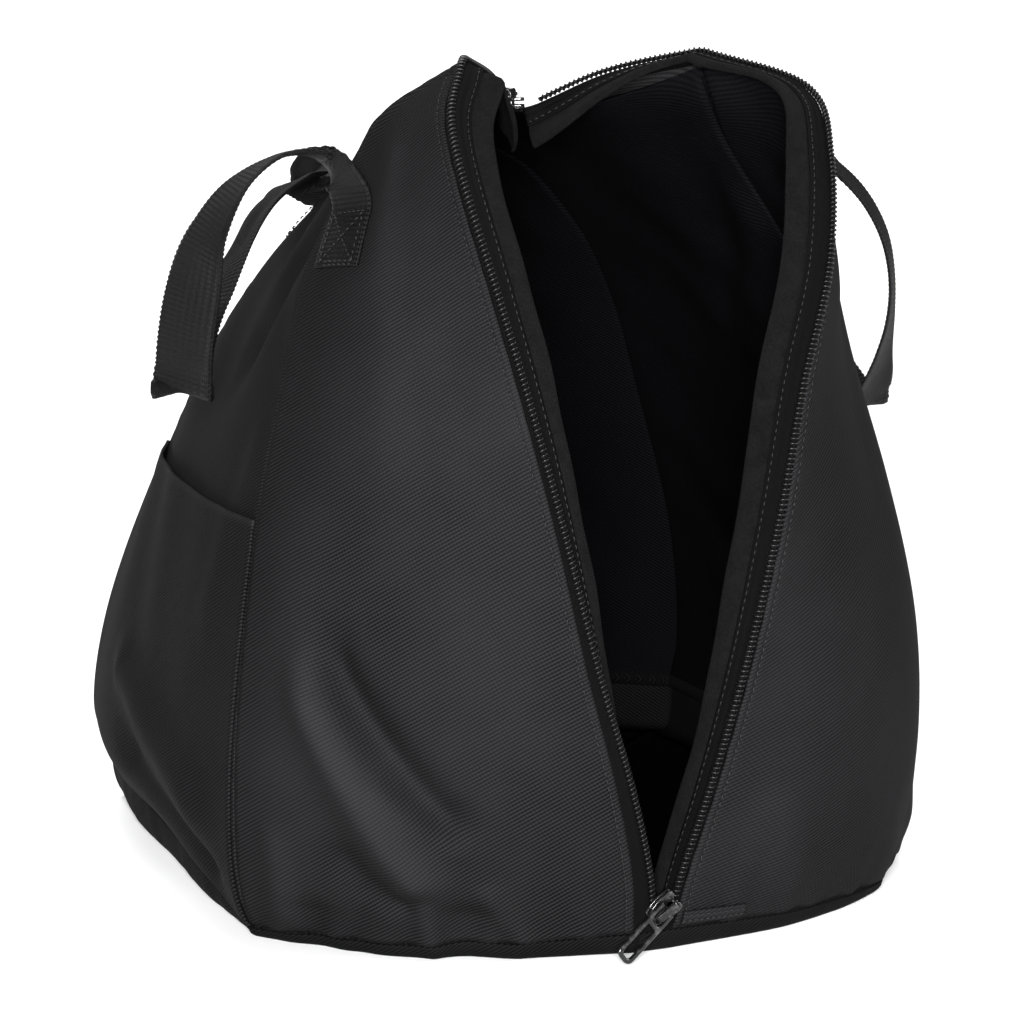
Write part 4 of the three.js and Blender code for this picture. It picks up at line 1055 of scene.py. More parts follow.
# %% Tape and guard
TAPE_TUCK = 2.2 * MM
TAPE_REACH = 8.5 * MM
GUARD = 1.7 * MM
GUARD_REACH = 18 * MM
GUARD_PUFF = 1.5 * MM
GUARD_SWAY = 2.4 * MM
GUARD_WAVES = [(17 * MM, .5), (7.3 * MM, .25)]
BEND_STEPS = 5
BEND_RADIUS = .9 * MM


def strip(name, lines, thickness, material):
    """A closed strip from lines along the edge, each with its points and its normals."""
    points, normals = (np.array([line[k] for line in lines]) for k in (0, 1))
    half = normals * thickness / 2
    return wall_object(name, points + half, points - half, material)


def tape_lines(edge, side):
    bend, inwards, facing, _, _ = tape_bend(edge, side)
    root = edge["point"] - edge["normal"] * TAPE_MIDDLE_DEPTH
    lines = [(root - edge["out"] * TAPE_TUCK, edge["normal"]), (root, edge["normal"])]
    for share in np.linspace(0, 1, BEND_STEPS + 1):
        normal = unit(edge["normal"] * (1 - share) + facing * share)
        entering = -edge["out"] * BEND_RADIUS * (1 - share) ** 2
        leaving = inwards * BEND_RADIUS * share ** 2
        lines.append((bend + entering + leaving, normal))
    for reach in np.linspace(.25, 1, 7):
        lines.append((bend + inwards * TAPE_REACH * reach, facing))
    return lines


def guard_lines(edge, side):
    bend, inwards, facing, _, _ = tape_bend(edge, side)
    along = edge["along"][:, None]
    limp = sum(share * np.sin(along / length + k) for k, (length, share) in enumerate(GUARD_WAVES))
    sink = TAPE / 2 + LAYER_GAP + GUARD / 2
    lines = []
    for reach in np.linspace(.12, 1, 12):
        puff = GUARD_PUFF * np.clip((reach - .45) / .2, 0, 1) * np.clip((1.04 - reach) / .12, 0, 1)
        sway = GUARD_SWAY * limp * max(reach - .5, 0)
        lines.append((bend + inwards * GUARD_REACH * reach + facing * (puff + sway - sink), facing))
    return lines


for side, edge in EDGES.items():
    tape = strip(f"{side}_zip_tape_woven", tape_lines(edge, side), TAPE, ZIP_TAPE)
    dress(tape, "zip_tape", f"{side}_zip_tape")
    guard = strip(f"{side}_zip_guard_fleece", guard_lines(edge, side), GUARD, FLEECE)
    dress(guard, "fleece", f"{side}_zip_guard")

# %% [markdown]
# A coil zip is a nylon wire wound into a flat spiral and sewn along the tape. We wind the same
# spiral: a centre line that circles an oval round the edge line, with a thin tube round it. Each
# turn is a tooth, and each catches its own glint, which no smooth tube with a bump would do.

# %% Coil
COIL_PITCH = 2.0 * MM
COIL_HALF_WIDTH = 1.45 * MM
COIL_HALF_HEIGHT = .95 * MM
WIRE = .42 * MM
CORE_SHARE = .72
TURN_STEPS = 12
WIRE_SIDES = 6


def capped_tube(name, rings, material, weave=None):
    """A closed tube from its rings, each end filled by one flat face or by two quads."""
    count = rings.shape[1]
    last = (len(rings) - 1) * count
    ends = [list(range(count))]
    if count == WIRE_SIDES:
        ends = [[(k + step) % count for step in range(4)] for k in (0, 3)]
    faces = ring_faces(len(rings), count).tolist()
    faces += [end[::-1] for end in ends] + [[last + k for k in end] for end in ends]
    return mesh_object(name, rings.reshape(-1, 3), faces, material, weave)


def wound_wire(name, centre, across, up, half_width, half_height, pitch):
    """A wire wound round a line, given the line's points and its two cross directions."""
    distance = run_lengths(centre[None])[0]
    turns = int(distance[-1] / pitch)
    even = np.linspace(0, turns * pitch, turns * TURN_STEPS + 1)
    line, x, z = (read_line(v, distance, even) for v in (centre, across, up))
    angle = 2 * math.pi * even[:, None] / pitch
    core = line + x * half_width * np.cos(angle) + z * half_height * np.sin(angle)
    run = unit(np.gradient(core, axis=0))
    radial = square_to(unit(x * np.cos(angle) / half_width + z * np.sin(angle) / half_height), run)
    rings = tube_rings(core, WIRE * radial, WIRE * np.cross(run, radial), WIRE_SIDES)
    return capped_tube(name, rings, NYLON)


def coil_core(name, centre, across, up, half_width, half_height):
    """The soft cord that fills the coil, so that no light shows between its turns."""
    rings = tube_rings(centre, across * half_width, up * half_height, 2 * WIRE_SIDES)
    return capped_tube(name, rings, ZIP_TAPE, rings.reshape(-1, 3)[:, :2] / MM)


def coil_wire(side):
    edge = fine_edge(side, SLIDER_LENGTH * .75, SLIDER_LENGTH / 2 + COIL_RADIUS)
    bend, _, _, up, mitre = tape_bend(edge, side)
    across = unit(np.cross(up, unit(np.gradient(bend, axis=0))))
    centre = bend + up * (mitre * TAPE / 2 + COIL_HALF_HEIGHT)
    core = coil_core(f"{side}_zip_coil_core", centre, across, up, CORE_SHARE * COIL_HALF_WIDTH,
                     CORE_SHARE * COIL_HALF_HEIGHT)
    wire = wound_wire(f"{side}_zip_coil_wire", centre, across, up, COIL_HALF_WIDTH, COIL_HALF_HEIGHT,
                      COIL_PITCH)
    return wire, core


for side in mirror:
    wire, core = coil_wire(side)
    dress(wire, "zip_coil", f"{side}_zip_coil")
    dress(core, "zip_tape")

# %% [markdown]
# Behind the top slider the zip is closed and runs over the ridge and down the rear. Closed, its two
# spirals mesh into one narrow ladder of teeth with a strip of tape on each side.

# %% Closed zip at the rear
CLOSED_TAPE_HALF = TAIL_X * HALF_WIDTH - .9 * MM
CLOSED_TAPE = 1.1 * MM
CLOSED_TAPE_SINK = .4 * MM
CLOSED_PITCH = 1.25 * MM
TEETH_RISE = 1.0 * MM
TEETH_HALF_WIDTH = 2.3 * MM
TEETH_HALF_HEIGHT = .75 * MM
REAR_END_GAP = .5 * MM
REAR_SPACING = 1.5 * MM


def side_of_rear(side):
    """Points and normals of one half's edge along the rear zip, over the ridge and then down."""
    last_rows = np.array([8.9, 8.95, CREST_ROW])
    ridge = folded_surface(side, "side", np.linspace(5, 7, 50), last_rows, fine=False)
    crest = folded_surface(side, "rear", np.linspace(7, 9, 50), last_rows, fine=False)
    tail = folded_surface(side, "rear", np.array([8.9, 8.95, 9]), np.linspace(0, CREST_ROW, 160), fine=False)
    return [np.concatenate([ridge[k][-1], crest[k][-1][1:], tail[k][::-1, -1][1:]]) for k in (0, 1)]


def rear_line():
    """Frames down the middle of the rear: point and outward normal."""
    left, right = side_of_rear("left"), side_of_rear("right")
    middle = (left[0] + right[0]) / 2
    normal = square_to((left[1] + right[1]) * [0, 1, 1], unit(np.gradient(middle, axis=0)))
    distance = run_lengths(middle[None])[0]
    keep = np.concatenate([[True], np.diff(distance) > SAME_PLACE])
    even = np.arange(SLIDER_LENGTH / 2 + REAR_END_GAP, distance[-1] - REAR_END_GAP, REAR_SPACING)
    middle, normal = (read_line(v[keep], distance[keep], even) for v in (middle, normal))
    for _ in range(6):
        normal[1:-1] = unit(normal[:-2] + 2 * normal[1:-1] + normal[2:])
    return middle, normal


def rear_zip():
    middle, normal = rear_line()
    across = np.broadcast_to([1.0, 0, 0], middle.shape)
    lines = [(middle + across * CLOSED_TAPE_HALF * share - normal * CLOSED_TAPE_SINK, normal)
             for share in np.linspace(-1, 1, 9)]
    tape = strip("rear_zip_tape_woven", lines, CLOSED_TAPE, ZIP_TAPE)
    teeth = wound_wire("rear_zip_teeth", middle + normal * TEETH_RISE, across, normal, TEETH_HALF_WIDTH,
                       TEETH_HALF_HEIGHT, CLOSED_PITCH)
    return tape, teeth


rear_tape, rear_teeth = rear_zip()
dress(rear_tape, "zip_tape", "rear_zip")
dress(rear_teeth, "zip_coil")

# %% [markdown]
# The pocket on the left side is one more layer of twill over the side panel. Its top edge is a
# hem, a folded band that is thicker than the cloth, and it gapes a little where hands go in.

# %% Pocket
POCKET_ROW = 7 / 16 * CREST_ROW
POCKET_GAPE = .022 * HALF_WIDTH
POCKET_HEM = 8 * MM
POCKET_HEM_RISE = .35 * MM
POCKET_WIDTH = 200 * MM
POCKET_HEIGHT = 160 * MM
POCKET_SLACK = 1.1 * MM
POCKET_WAVE = 80 * MM


def pocket_cloth():
    stations = 3 + 4 * edge_shares(POCKET_WIDTH, int(POCKET_WIDTH / PANEL_SPACING))[1:-1]
    rows = POCKET_ROW * edge_shares(POCKET_HEIGHT, int(POCKET_HEIGHT / PANEL_SPACING))[1:]
    points, normals = folded_surface("left", "side", stations, rows)
    first, last, base, top = edge_distances(points)
    across = np.sin(math.pi * (stations - 3) / 4)[None]
    up = rows[:, None] / POCKET_ROW
    gape = POCKET_GAPE * across * up ** 3
    slack = POCKET_SLACK * ripple(first, POCKET_WAVE, .7) * across * up
    hem = POCKET_HEM_RISE / (1 + np.exp((top - POCKET_HEM) / (1.2 * MM)))
    under = slow_waves(first, base, PHASES["left", "side"])
    relief = (LAYER_GAP + CLOTH + gape + slack + hem + under
              + .6 * seam_profile(first) + .6 * seam_profile(last) + seam_profile(base))
    wear_and_highlight = .8 * hump(top, 1.0 * MM, 1.6 * MM)
    outer = points + normals * relief[..., None]
    weave = flat_weave("left", "side", stations, rows)
    return wall_object("left_pocket_cloth", outer, outer - normals * CLOTH, TWILL, weave, wear_and_highlight)


dress(pocket_cloth(), "twill", "left_pocket")

# %% [markdown]
# Sewing is what makes cloth pieces read as sewn. A stitch is a short piece of thread that rises a
# little in its middle and dives in at both ends. stitch_row() lays one small mesh for each stitch
# along a line, so all seams share the same length, gap and thread.

# %% Stitches
STITCH = 2.3 * MM
STITCH_GAP = .9 * MM
STITCH_RADIUS = .26 * MM
STITCH_LIFT = .05 * MM
GUARD_ROW_INSET = 1.6 * MM
STITCH_SIDES = 6
STITCH_RINGS = np.array([[-.50, .25, -1.2], [-.42, .85, -.35], [-.15, 1.0, .45], [.15, 1.0, .45],
                         [.42, .85, -.35], [.50, .25, -1.2]])


def stitch_row(points, normals, material, length=STITCH, radius=STITCH_RADIUS):
    """One mesh with a stitch at each even step along a line, standing on the normals given."""
    distance = run_lengths(points[None])[0]
    middles = np.arange(length / 2, distance[-1] - length / 2, length + STITCH_GAP)
    behind, at, ahead = (read_line(points, distance, middles + move) for move in (-length / 2, 0, length / 2))
    run = unit(ahead - behind)
    up = square_to(read_line(normals, distance, middles), run)
    across = np.cross(run, up)
    rings = [tube_rings(at + run * length * along + up * radius * height, radius * width * up,
                        radius * width * across, STITCH_SIDES) for along, width, height in STITCH_RINGS]
    rings = np.stack(rings, 1)
    one = ring_faces(len(STITCH_RINGS), STITCH_SIDES)
    size = len(STITCH_RINGS) * STITCH_SIDES
    last = size - STITCH_SIDES
    ends = np.array([[0, 1, 2, 3], [0, 3, 4, 5]])
    one = np.concatenate([one, ends[:, ::-1], last + ends])
    faces = (one[None] + (np.arange(len(middles)) * size)[:, None, None]).reshape(-1, 4)
    return mesh_object("stitches", rings.reshape(-1, 3), faces, material)


def join_pieces(name, pieces):
    """Several meshes of one material as one object."""
    first = pieces[0]
    with bpy.context.temp_override(active_object=first, object=first, selected_objects=pieces,
                                   selected_editable_objects=pieces):
        bpy.ops.object.join()
    first.name = name
    return first


# %% [markdown]
# The seams between the panels are sewn from the inside, so no thread shows there. The stitches that
# do show are those along each hem by the zip, and those that hold the guard to the tape.

# %% Sewn lines


def hem_line(side, part):
    """A line up a panel, in the groove behind the hem, and the normals along it."""
    _, rows, points, normals = real_cloth(side, part)
    surface = points + normals * STITCH_LIFT
    first, last, _, _ = edge_distances(points)
    line, facing = [], []
    for j in range(2, len(rows) - 2):
        measure = first[j] if part == "front" else last[j][::-1]
        if measure[-1] < 3 * HEM_GROOVE_AT:
            break
        place = np.interp(HEM_GROOVE_AT, measure, np.arange(len(measure)))
        place = place if part == "front" else len(measure) - 1 - place
        low = int(min(place, len(measure) - 2))
        share = place - low
        line.append(surface[j, low] * (1 - share) + surface[j, low + 1] * share)
        facing.append(normals[j, low])
    return np.array(line), np.array(facing)


def seam_stitches(side):
    rows = [stitch_row(*hem_line(side, part), THREAD) for part in ("front", "rear")]
    return join_pieces(f"{side}_seam_stitches", rows)


def zip_stitches(side):
    bend, inwards, facing, _, _ = tape_bend(EDGES[side], side)
    line = bend + inwards * (TAPE_REACH - GUARD_ROW_INSET) + facing * (TAPE / 2 + STITCH_LIFT)
    return join_pieces(f"{side}_zip_stitches", [stitch_row(line, facing, THREAD)])


for side in mirror:
    dress(seam_stitches(side), "twill")
    dress(zip_stitches(side), "zip_tape")

# %% [markdown]
# The handles are 25 mm webbing. Each is sewn down along a front seam, springs up and out, folds over
# its own weight near the bottom of the loop and comes back to the rear seam. The free part follows a
# table of sections, each with the place of its middle as shares of the bag and then the direction
# across the strap. The sewn ends lie on the cloth, so they are worked out from the panel's surface.

# %% Handle path
WEBBING_WIDTH = 25 * MM
WEBBING = 1.6 * MM
STRAPS = {
    "left": [
        [.647, -.341, .892, -.20, .95, -.20], [.773, -.365, .904, -.10, .96, -.22],
        [.880, -.365, .880, .10, .97, -.20], [.970, -.353, .822, .30, .94, -.12],
        [1.010, -.329, .746, .62, .78, -.03], [1.025, -.306, .680, .66, .75, .00],
        [1.025, -.292, .645, .68, .73, .00], [1.022, -.276, .630, .68, .73, .00],
        [1.016, -.259, .645, .68, .73, .00], [.965, -.215, .692, .50, .86, -.10],
        [.880, -.159, .732, .20, .95, -.18], [.780, -.076, .774, -.05, .97, -.22],
        [.680, .018, .806, -.08, .97, -.22], [.560, .141, .820, -.18, .95, -.20],
        [.467, .259, .817, -.32, .92, -.18], [.365, .385, .808, -.60, .78, -.20],
    ],
    "right": [
        [.753, -.318, .868, .49, .86, .05], [.833, -.344, .838, .49, .86, .00],
        [.920, -.341, .797, .49, .86, .00], [.980, -.335, .747, .49, .86, .00],
        [1.003, -.329, .694, .49, .86, .00], [1.003, -.318, .647, .55, .82, .00],
        [.997, -.300, .612, .65, .75, .00], [.993, -.265, .572, .80, .58, .00],
        [.997, -.218, .546, .88, .47, .00], [1.003, -.171, .530, .90, .44, .00],
        [.993, -.124, .546, .90, .40, .05], [.963, -.041, .590, .75, .62, .00],
        [.900, .053, .629, .52, .80, -.08], [.787, .141, .694, .25, .92, -.15],
        [.653, .235, .756, -.05, .95, -.18], [.520, .318, .803, -.32, .92, -.16],
        [.385, .425, .806, -.52, .82, -.15],
    ],
}
SEWN_FROM = 6.1
SEWN_TO = 6.6
SEWN_SECTIONS = 6
SEWN_AT = {"front": 2.333, "rear": 7.4}
SEWN_CLEAR = .25 * MM
LIFT_OFF = {"front": [[.22, .10], [.38, .34]], "rear": [[.22, .10]]}
PATCH_REACH = 45 * MM
PATCH_SMOOTH = 2.2 * MM
ACROSS_STEPS = 17


def cloth_at(cloth, station, row):
    """Point and normal of a panel's real cloth at a station and a row."""
    stations, rows, points, normals = cloth
    i = np.interp(station, stations, np.arange(len(stations)))
    j = np.interp(row, rows, np.arange(len(rows)))
    point, normal = (smooth_line(smooth_line(grid, j)[0], i)[0] for grid in (points, normals))
    return point, unit(normal)


def sewn_patch(side, part):
    """The straight end of a strap on a panel: its frame, its length and a way to place a point."""
    cloth = real_cloth(side, part)
    foot, _ = cloth_at(cloth, SEWN_AT[part], SEWN_FROM)
    head, normal = cloth_at(cloth, SEWN_AT[part], SEWN_TO)
    run = unit(head - foot)
    normal = square_to(normal, run)
    across = -mirror[side] * np.cross(normal, run)
    local = cloth[2].reshape(-1, 3) - foot
    local = local[np.linalg.norm(local, axis=1) < PATCH_REACH]
    known_across, known_along, known_height = local @ across, local @ run, local @ normal

    def place(across_by, along_by, lift):
        """A point over the patch: metres across and along it, and lifted off the cloth."""
        away = (across_by - known_across) ** 2 + (along_by - known_along) ** 2
        weight = np.exp(-away / PATCH_SMOOTH ** 2)
        height = (weight * known_height).sum() / weight.sum() + SEWN_CLEAR + lift
        return foot + across * across_by + run * along_by + normal * height

    return {"run": run, "across": across, "normal": normal, "length": np.linalg.norm(head - foot),
            "place": place}


def sewn_sections(side, part):
    """Middle, direction across and bow of each section, from the lower end up and off the cloth."""
    patch = sewn_patch(side, part)
    offsets = np.linspace(-1, 1, ACROSS_STEPS) * WEBBING_WIDTH / 2
    sections = []
    for along in np.linspace(0, patch["length"], SEWN_SECTIONS):
        middle = patch["place"](0, along, WEBBING / 2)
        bow = [(patch["place"](by, along, WEBBING / 2) - middle) @ patch["normal"] for by in offsets]
        sections.append((middle, patch["across"], np.array(bow)))
    top, _, bow = sections[-1]
    for ahead, off in LIFT_OFF[part]:
        middle = top + patch["run"] * ahead * WEBBING_WIDTH + patch["normal"] * off * WEBBING_WIDTH
        sections.append((middle, patch["across"], bow * max(0, .5 - off)))
    return sections


def spaced_line(values, known, at):
    """A smooth line through values at uneven distances, read at other distances."""
    slopes = np.gradient(values, known, axis=0)
    k = np.clip(np.searchsorted(known, at) - 1, 0, len(known) - 2)
    gap = (known[k + 1] - known[k])[:, None]
    f = (at[:, None] - known[k][:, None]) / gap
    start = (1 + 2 * f) * (1 - f) ** 2 * values[k] + f * (1 - f) ** 2 * gap * slopes[k]
    return start + f * f * (3 - 2 * f) * values[k + 1] + f * f * (f - 1) * gap * slopes[k + 1]


def handle_sections(side):
    turn = np.array([mirror[side], 1, 1])
    size = np.array([HALF_WIDTH, HALF_DEPTH, HEIGHT])
    free = [(np.array(row[:3]) * size * turn, unit(np.array(row[3:]) * turn), np.zeros(ACROSS_STEPS))
            for row in STRAPS[side]]
    rear = [(middle, -across, bow) for middle, across, bow in sewn_sections(side, "rear")[::-1]]
    sections = sewn_sections(side, "front") + free + rear
    return [np.array(column) for column in zip(*sections)]


# %% [markdown]
# Webbing is woven so tightly that its cross threads stand up as ribs about 2 mm apart, with a
# scalloped edge. We follow the path in half-millimetre steps and lift the surface in a pattern that
# shifts by half a rib from one thread to the next.

# %% Webbing
RIB_PITCH = 2.0 * MM
RIB_HEIGHT = .42 * MM
RIB_STEP = .5 * MM
SCALLOP = .25 * MM


def webbing(side):
    middles, acrosses, bows = handle_sections(side)
    known = run_lengths(middles[None])[0]
    even = np.arange(0, known[-1], RIB_STEP)
    middle, across, bow = (spaced_line(column, known, even) for column in (middles, acrosses, bows))
    run = unit(np.gradient(middle, axis=0))
    across = square_to(across, run)[:, None]
    face = unit(np.cross(across, run[:, None]))
    offsets = np.linspace(-1, 1, ACROSS_STEPS)[None]
    points = middle[:, None] + across * (offsets * WEBBING_WIDTH / 2)[..., None]
    points = points + mirror[side] * face * bow[..., None]
    phase = 2 * math.pi * even[:, None] / RIB_PITCH
    column = np.arange(ACROSS_STEPS)[None]
    rib = np.cos(phase) * .75 + np.cos(phase + math.pi * column) * .25
    rim = np.clip((1 - np.abs(offsets)) / .12, 0, 1) ** .5
    half = (WEBBING / 2 + RIB_HEIGHT / 2 * rib) * (.35 + .65 * rim)
    points = points + across * (offsets ** 8 * np.sign(offsets) * SCALLOP * np.cos(phase))[..., None]
    return wall_object(f"{side}_handle_webbing", points + face * half[..., None],
                       points - face * half[..., None], WEBBING_CLOTH)


for side in mirror:
    dress(webbing(side), "webbing", f"{side}_handle")

# %% [markdown]
# Each sewn end carries a box of heavier stitches with a cross in it and a second row at its foot,
# the usual way to hold a strap under load.

# %% Bartacks
BOX_LOW, BOX_HIGH, BOX_SIDE = .08, .95, .74
BOX_STEP = .06
BOX_THREAD_STEPS = 24
BOX_STITCH = 1.9 * MM
BOX_THREAD = .32 * MM
BOX_LIFT = .1 * MM


def patch_line(patch, start, end):
    """Points along a straight row of stitches between two (along, across) shares of the patch."""
    line = []
    for share in np.linspace(0, 1, BOX_THREAD_STEPS):
        along, across = (a + (b - a) * share for a, b in zip(start, end))
        line.append(patch["place"](across * WEBBING_WIDTH / 2, along * patch["length"], WEBBING + BOX_LIFT))
    return np.array(line), np.broadcast_to(patch["normal"], (BOX_THREAD_STEPS, 3))


def bartack(side, part):
    patch = sewn_patch(side, part)
    corners = [(along, across) for along in (BOX_LOW, BOX_HIGH) for across in (-BOX_SIDE, BOX_SIDE)]
    lines = [(corners[a], corners[b]) for a, b in ((0, 1), (2, 3), (0, 2), (1, 3), (0, 3), (1, 2))]
    lines.append(((BOX_LOW - BOX_STEP, -BOX_SIDE), (BOX_LOW - BOX_STEP, BOX_SIDE)))
    return [stitch_row(*patch_line(patch, *line), BOLD_THREAD, length=BOX_STITCH, radius=BOX_THREAD)
            for line in lines]


for side in mirror:
    dress(join_pieces(f"{side}_handle_stitches", bartack(side, "front") + bartack(side, "rear")), "webbing")

# %% [markdown]
# Beside the foot of the zip a small tab of folded twill is sewn flat on the right panel. It is a
# sleeve with a soft fold along its lower edge and two lines of stitches.

# %% Tab at the foot of the zip
TAB_STATIONS = (.03, .52)
TAB_ROWS = (.10, .34)
TAB_LIFT = .85 * MM
TAB_HALF = .84 * MM
TAB_CHANNEL = .4 * MM
TAB_CHANNELS_AT = (.28, .72)
TAB_STITCH = 1.7 * MM
TAB_STITCH_ROWS = (4, 9)


def tab_surface():
    stations = np.linspace(*TAB_STATIONS, 44)
    rows = np.linspace(*TAB_ROWS, 14)
    points, normals = folded_surface("right", "front", stations, rows)
    along = np.linspace(0, 1, len(stations))[None]
    up = np.linspace(0, 1, len(rows))[:, None]
    puff = 1.0 * MM * np.sin(math.pi * up) ** .5 * (.6 + .4 * np.sin(math.pi * along))
    channels = TAB_CHANNEL * sum(hump(up, at, .07) for at in TAB_CHANNELS_AT)
    return points, normals, TAB_LIFT + TAB_HALF + puff - channels


def tab_cloth():
    points, normals, lift = tab_surface()
    return wall_object("zip_end_tab_cloth", points + normals * lift[..., None],
                       points + normals * TAB_LIFT, TWILL, wear_and_highlight=np.full(points.shape[:2], .3))


def tab_stitches():
    points, normals, lift = tab_surface()
    surface = points + normals * (lift + .1 * MM)[..., None]
    rows = [stitch_row(surface[j], normals[j], BOLD_THREAD, length=TAB_STITCH) for j in TAB_STITCH_ROWS]
    return join_pieces("zip_end_tab_stitches", rows)


dress(tab_cloth(), "twill", "zip_end_tab")
dress(tab_stitches(), "twill")

# %% [markdown]
# The sliders are small castings: a body whose two plates hold the coils, an arch (the bail) on top,
# and the pull that hangs on it. We draw each outline once and let a flat curve with a bevel give
# the rounded edges, then turn it into a mesh. Each lies exactly where its solid lies, so the pull's
# eye stays round the bail when its hinge turns.

# %% Sliders and pulls
SLIDER_WIDTH = 9.4 * MM
SLIDER_THICKNESS = 4.2 * MM
BAIL_WIDTH = 3 * MM
BAIL_LENGTH = 10.4 * MM
BAIL_WIRE = 1.3 * MM
BAIL_FOOT = -.3 * MM
EYE_CLEARANCE = .6 * MM
PULL_LENGTH = 27 * MM
PULL_WIDTH = 8.4 * MM
PULL_THICKNESS = 1.5 * MM
PULL_RAIL = 1.9 * MM
BAR_HEIGHT = EYE_CLEARANCE + PULL_THICKNESS / 2


def arc(centre, radius, start, end, steps=8):
    angles = np.radians(np.linspace(start, end, steps))
    return [(centre[0] + radius * math.cos(a), centre[1] + radius * math.sin(a)) for a in angles]


def flat_metal(name, outlines, thickness, bevel):
    """A plate with rounded rims from closed outlines in the XY plane; inner ones are holes."""
    curve = bpy.data.curves.new(name, "CURVE")
    curve.dimensions = "2D"
    curve.fill_mode = "BOTH"
    curve.extrude = thickness / 2 - bevel
    curve.bevel_depth = bevel
    curve.bevel_resolution = 3
    curve.offset = -bevel
    for outline in outlines:
        spline = curve.splines.new("POLY")
        spline.points.add(len(outline) - 1)
        for point, (x, y) in zip(spline.points, outline):
            point.co = (x, y, 0, 1)
        spline.use_cyclic_u = True
    drawn = new_object(name + "_outline", curve)
    bpy.context.view_layer.update()
    mesh = bpy.data.meshes.new_from_object(drawn.evaluated_get(bpy.context.evaluated_depsgraph_get()))
    bpy.data.objects.remove(drawn)
    mesh.materials.clear()
    mesh.materials.append(METAL)
    mesh.name = name
    mesh.polygons.foreach_set("use_smooth", np.ones(len(mesh.polygons), bool))
    piece = new_object(name, mesh)
    split = piece.modifiers.new("sharp", "EDGE_SPLIT")
    split.split_angle = math.radians(50)
    return piece


def slider_outline():
    half, end = SLIDER_WIDTH / 2, SLIDER_LENGTH / 2
    right = [(half * .62, -end), (half * .9, -end * .45), (half, 0), (half, end * .7)]
    right += arc((half - 1.2 * MM, end - 1.2 * MM), 1.2 * MM, 20, 90)
    right += [(half * .45, end), (half * .2, end * .78)]
    return right + [(-x, y) for x, y in right[::-1]]


def bail_outline():
    """The arch seen from the side: x along the zip, y outwards."""
    reach, top = BAIL_LENGTH / 2, 2 * BAR_HEIGHT
    outer = [(-reach, BAIL_FOOT)] + arc((-reach + 1.8 * MM, top - .5 * MM), 1.8 * MM, 180, 90)
    outer += arc((reach - 1.8 * MM, top - .5 * MM), 1.8 * MM, 90, 0) + [(reach, BAIL_FOOT)]
    inside = reach - BAIL_WIRE
    inner = [(inside, BAIL_FOOT)] + arc((inside - .9 * MM, top - .9 * MM), .9 * MM, 0, 90)
    inner += arc((-inside + .9 * MM, top - .9 * MM), .9 * MM, 90, 180) + [(-inside, BAIL_FOOT)]
    return outer + inner


def pull_outlines():
    half, bar = PULL_WIDTH / 2, PULL_THICKNESS / 2
    eye_end = BAIL_LENGTH / 2 + EYE_CLEARANCE + BAIL_WIRE
    window = (eye_end + PULL_RAIL, PULL_LENGTH - PULL_RAIL)
    outer = arc((half - bar, 0), bar, 0, 90) + arc((-half + bar, 0), bar, 90, 180)
    outer += arc((-half + 3 * MM, -PULL_LENGTH + 3 * MM), 3 * MM, 180, 270)
    outer += arc((half - 3 * MM, -PULL_LENGTH + 3 * MM), 3 * MM, 270, 360)
    inner = half - PULL_RAIL
    holes = []
    for start, end, low in ((bar, eye_end, .8 * MM), (*window, 1.6 * MM)):
        holes.append(arc((inner - .6 * MM, -start - .6 * MM), .6 * MM, 0, 90)
                     + arc((-inner + .6 * MM, -start - .6 * MM), .6 * MM, 90, 180)
                     + arc((-inner + low, -end + low), low, 180, 270)
                     + arc((inner - low, -end + low), low, 270, 360))
    return [outer, *holes]


# %% [markdown]
# A slider's own frame has x across the zip, y along it towards the open side, and z outwards. The
# place comes from the joint of its pull: the hinge's point is the bar inside the bail.

# %% Place the sliders
JOINTS = {joint["name"]: joint for joint in frame["joints"]}


def slider_frame(name, towards_open, outwards, tilt):
    """Matrices of the slider and its pull from the hinge of the pull."""
    y = Vector(towards_open).normalized()
    x = y.cross(Vector(outwards)).normalized()
    z = x.cross(y)
    turn = Matrix((x, y, z)).transposed().to_4x4()
    hinge = Vector(JOINTS[f"{name}_pull_hinge"]["pos_m"])
    slider = Matrix.Translation(hinge - z * BAR_HEIGHT) @ turn
    pull = Matrix.Translation(hinge) @ turn @ Matrix.Rotation(-math.radians(tilt), 4, "X")
    return slider, pull


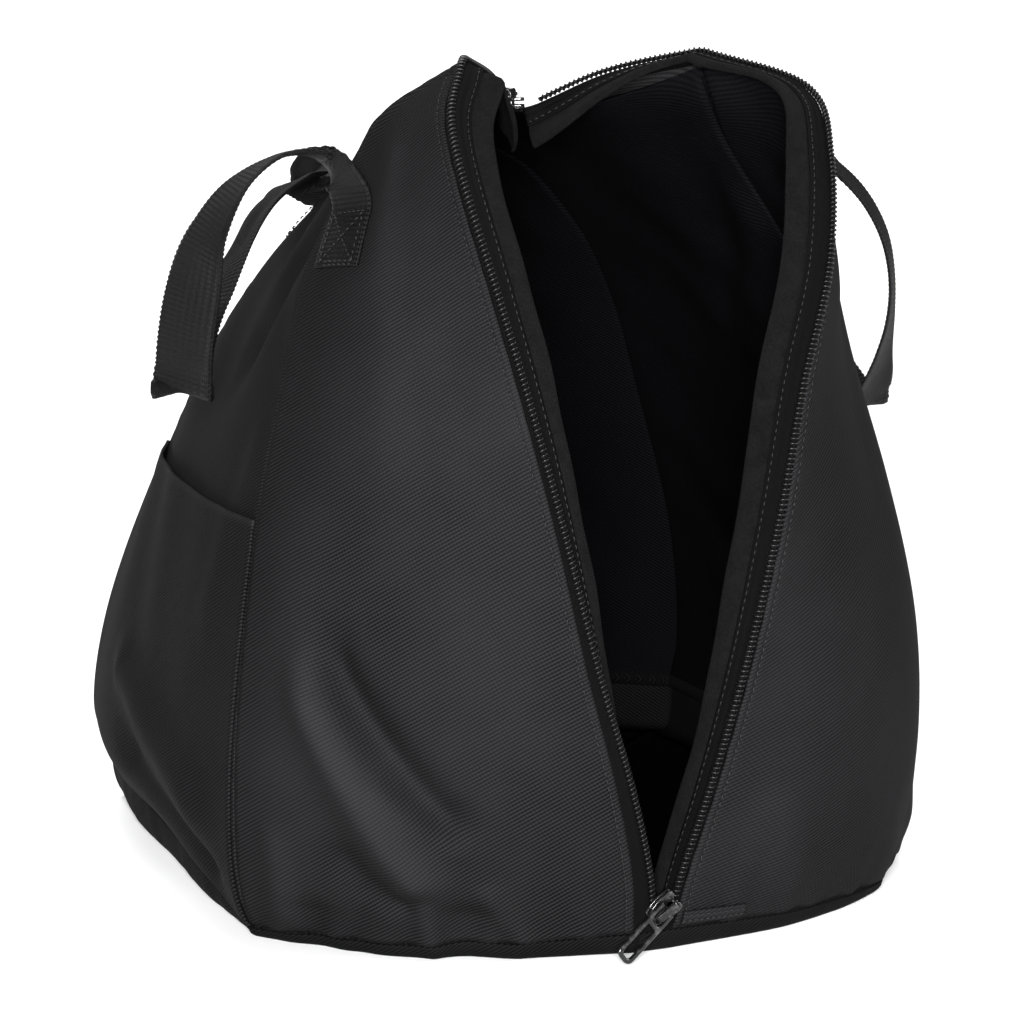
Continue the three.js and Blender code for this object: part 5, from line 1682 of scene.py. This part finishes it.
def build_slider(name, towards_open, outwards, tilt):
    place, hanging = slider_frame(name, towards_open, outwards, tilt)
    plate = SLIDER_THICKNESS * .36
    top = flat_metal(f"{name}_slider_top", [slider_outline()], plate, .42 * MM)
    low = flat_metal(f"{name}_slider_low", [slider_outline()], plate, .42 * MM)
    post = flat_metal(f"{name}_slider_post", [arc((0, 2.6 * MM), 1.5 * MM, 0, 345, 16)],
                      SLIDER_THICKNESS, .2 * MM)
    bail = flat_metal(f"{name}_slider_bail", [bail_outline()], BAIL_WIDTH, .4 * MM)
    stand = Matrix.Rotation(math.pi / 2, 4, "Z") @ Matrix.Rotation(math.pi / 2, 4, "X")
    for piece, depth in ((top, plate / 2), (low, SLIDER_THICKNESS - plate / 2), (post, SLIDER_THICKNESS / 2)):
        piece.matrix_world = place @ Matrix.Translation((0, 0, -depth))
    bail.matrix_world = place @ stand
    pull = flat_metal(f"{name}_pull_frame", pull_outlines(), PULL_THICKNESS, .5 * MM)
    pull.matrix_world = hanging
    for piece in (top, low, post, bail, pull):
        piece.data.transform(piece.matrix_world)
        piece.matrix_world = Matrix.Identity(4)
    dress(top, "zip_metal", f"{name}_slider")
    for piece in (low, post, bail):
        dress(piece, "zip_metal")
    dress(pull, "zip_metal", f"{name}_pull", body=f"{name}_pull")


BOTTOM_ROLL = math.radians(54)
TOP_RIDGE = (.0232, -.9921, .1233)
build_slider("bottom", (math.sin(BOTTOM_ROLL), 0, math.cos(BOTTOM_ROLL)), (0, -1, 0), 12)
build_slider("top", TOP_RIDGE, (0, .1233, .9924), 4)

# %% [markdown]
# Last the studio: a pale floor, a pale world, one soft light low at the left front, a weaker one from
# the right and a broad one behind the bag that whitens the floor and draws the edges of the cloth.

# %% Stage and light
FLOOR_HALF = 40
WORLD_LIGHT = .18
LIGHTS = [  # name, place, size, watts, aim
    ("key", (-1.0, -2.35, .80), .7, 210, (0, 0, .15)),
    ("fill", (2.1, -1.5, .8), 1.2, 42, (0, 0, .15)),
    ("back", (.3, 2.2, 2.6), 2.4, 130, (.7, 2.0, 0)),
]


def stage_material():
    material, shader = start_material("pale_floor", .9)
    shade = noise(material, object_place(material), 1.5, 2)
    set_inputs(material, shader, {"Base Color": ramp(material, shade, (.86,) * 3, (.9,) * 3)})
    return material


def add_floor():
    corners = [(x * FLOOR_HALF, y * FLOOR_HALF, 0) for x, y in ((-1, -1), (1, -1), (1, 1), (-1, 1))]
    mesh = bpy.data.meshes.new("floor")
    mesh.from_pydata(corners, [], [[0, 1, 2, 3]])
    mesh.materials.append(stage_material())
    new_object("floor", mesh)


def add_light(name, place, size, power, aim):
    data = bpy.data.lights.new(name, "AREA")
    data.shape = "DISK"
    data.size = size
    data.energy = power
    light = new_object(name, data)
    light.location = place
    light.rotation_euler = (Vector(aim) - Vector(place)).to_track_quat("-Z", "Y").to_euler()


add_floor()
world = bpy.data.worlds.new("studio")
world.use_nodes = True
world.node_tree.nodes["Background"].inputs["Color"].default_value = (1, 1, 1, 1)
world.node_tree.nodes["Background"].inputs["Strength"].default_value = WORLD_LIGHT
bpy.context.scene.world = world
for light in LIGHTS:
    add_light(*light)
bpy.context.scene.view_settings.view_transform = "Standard"
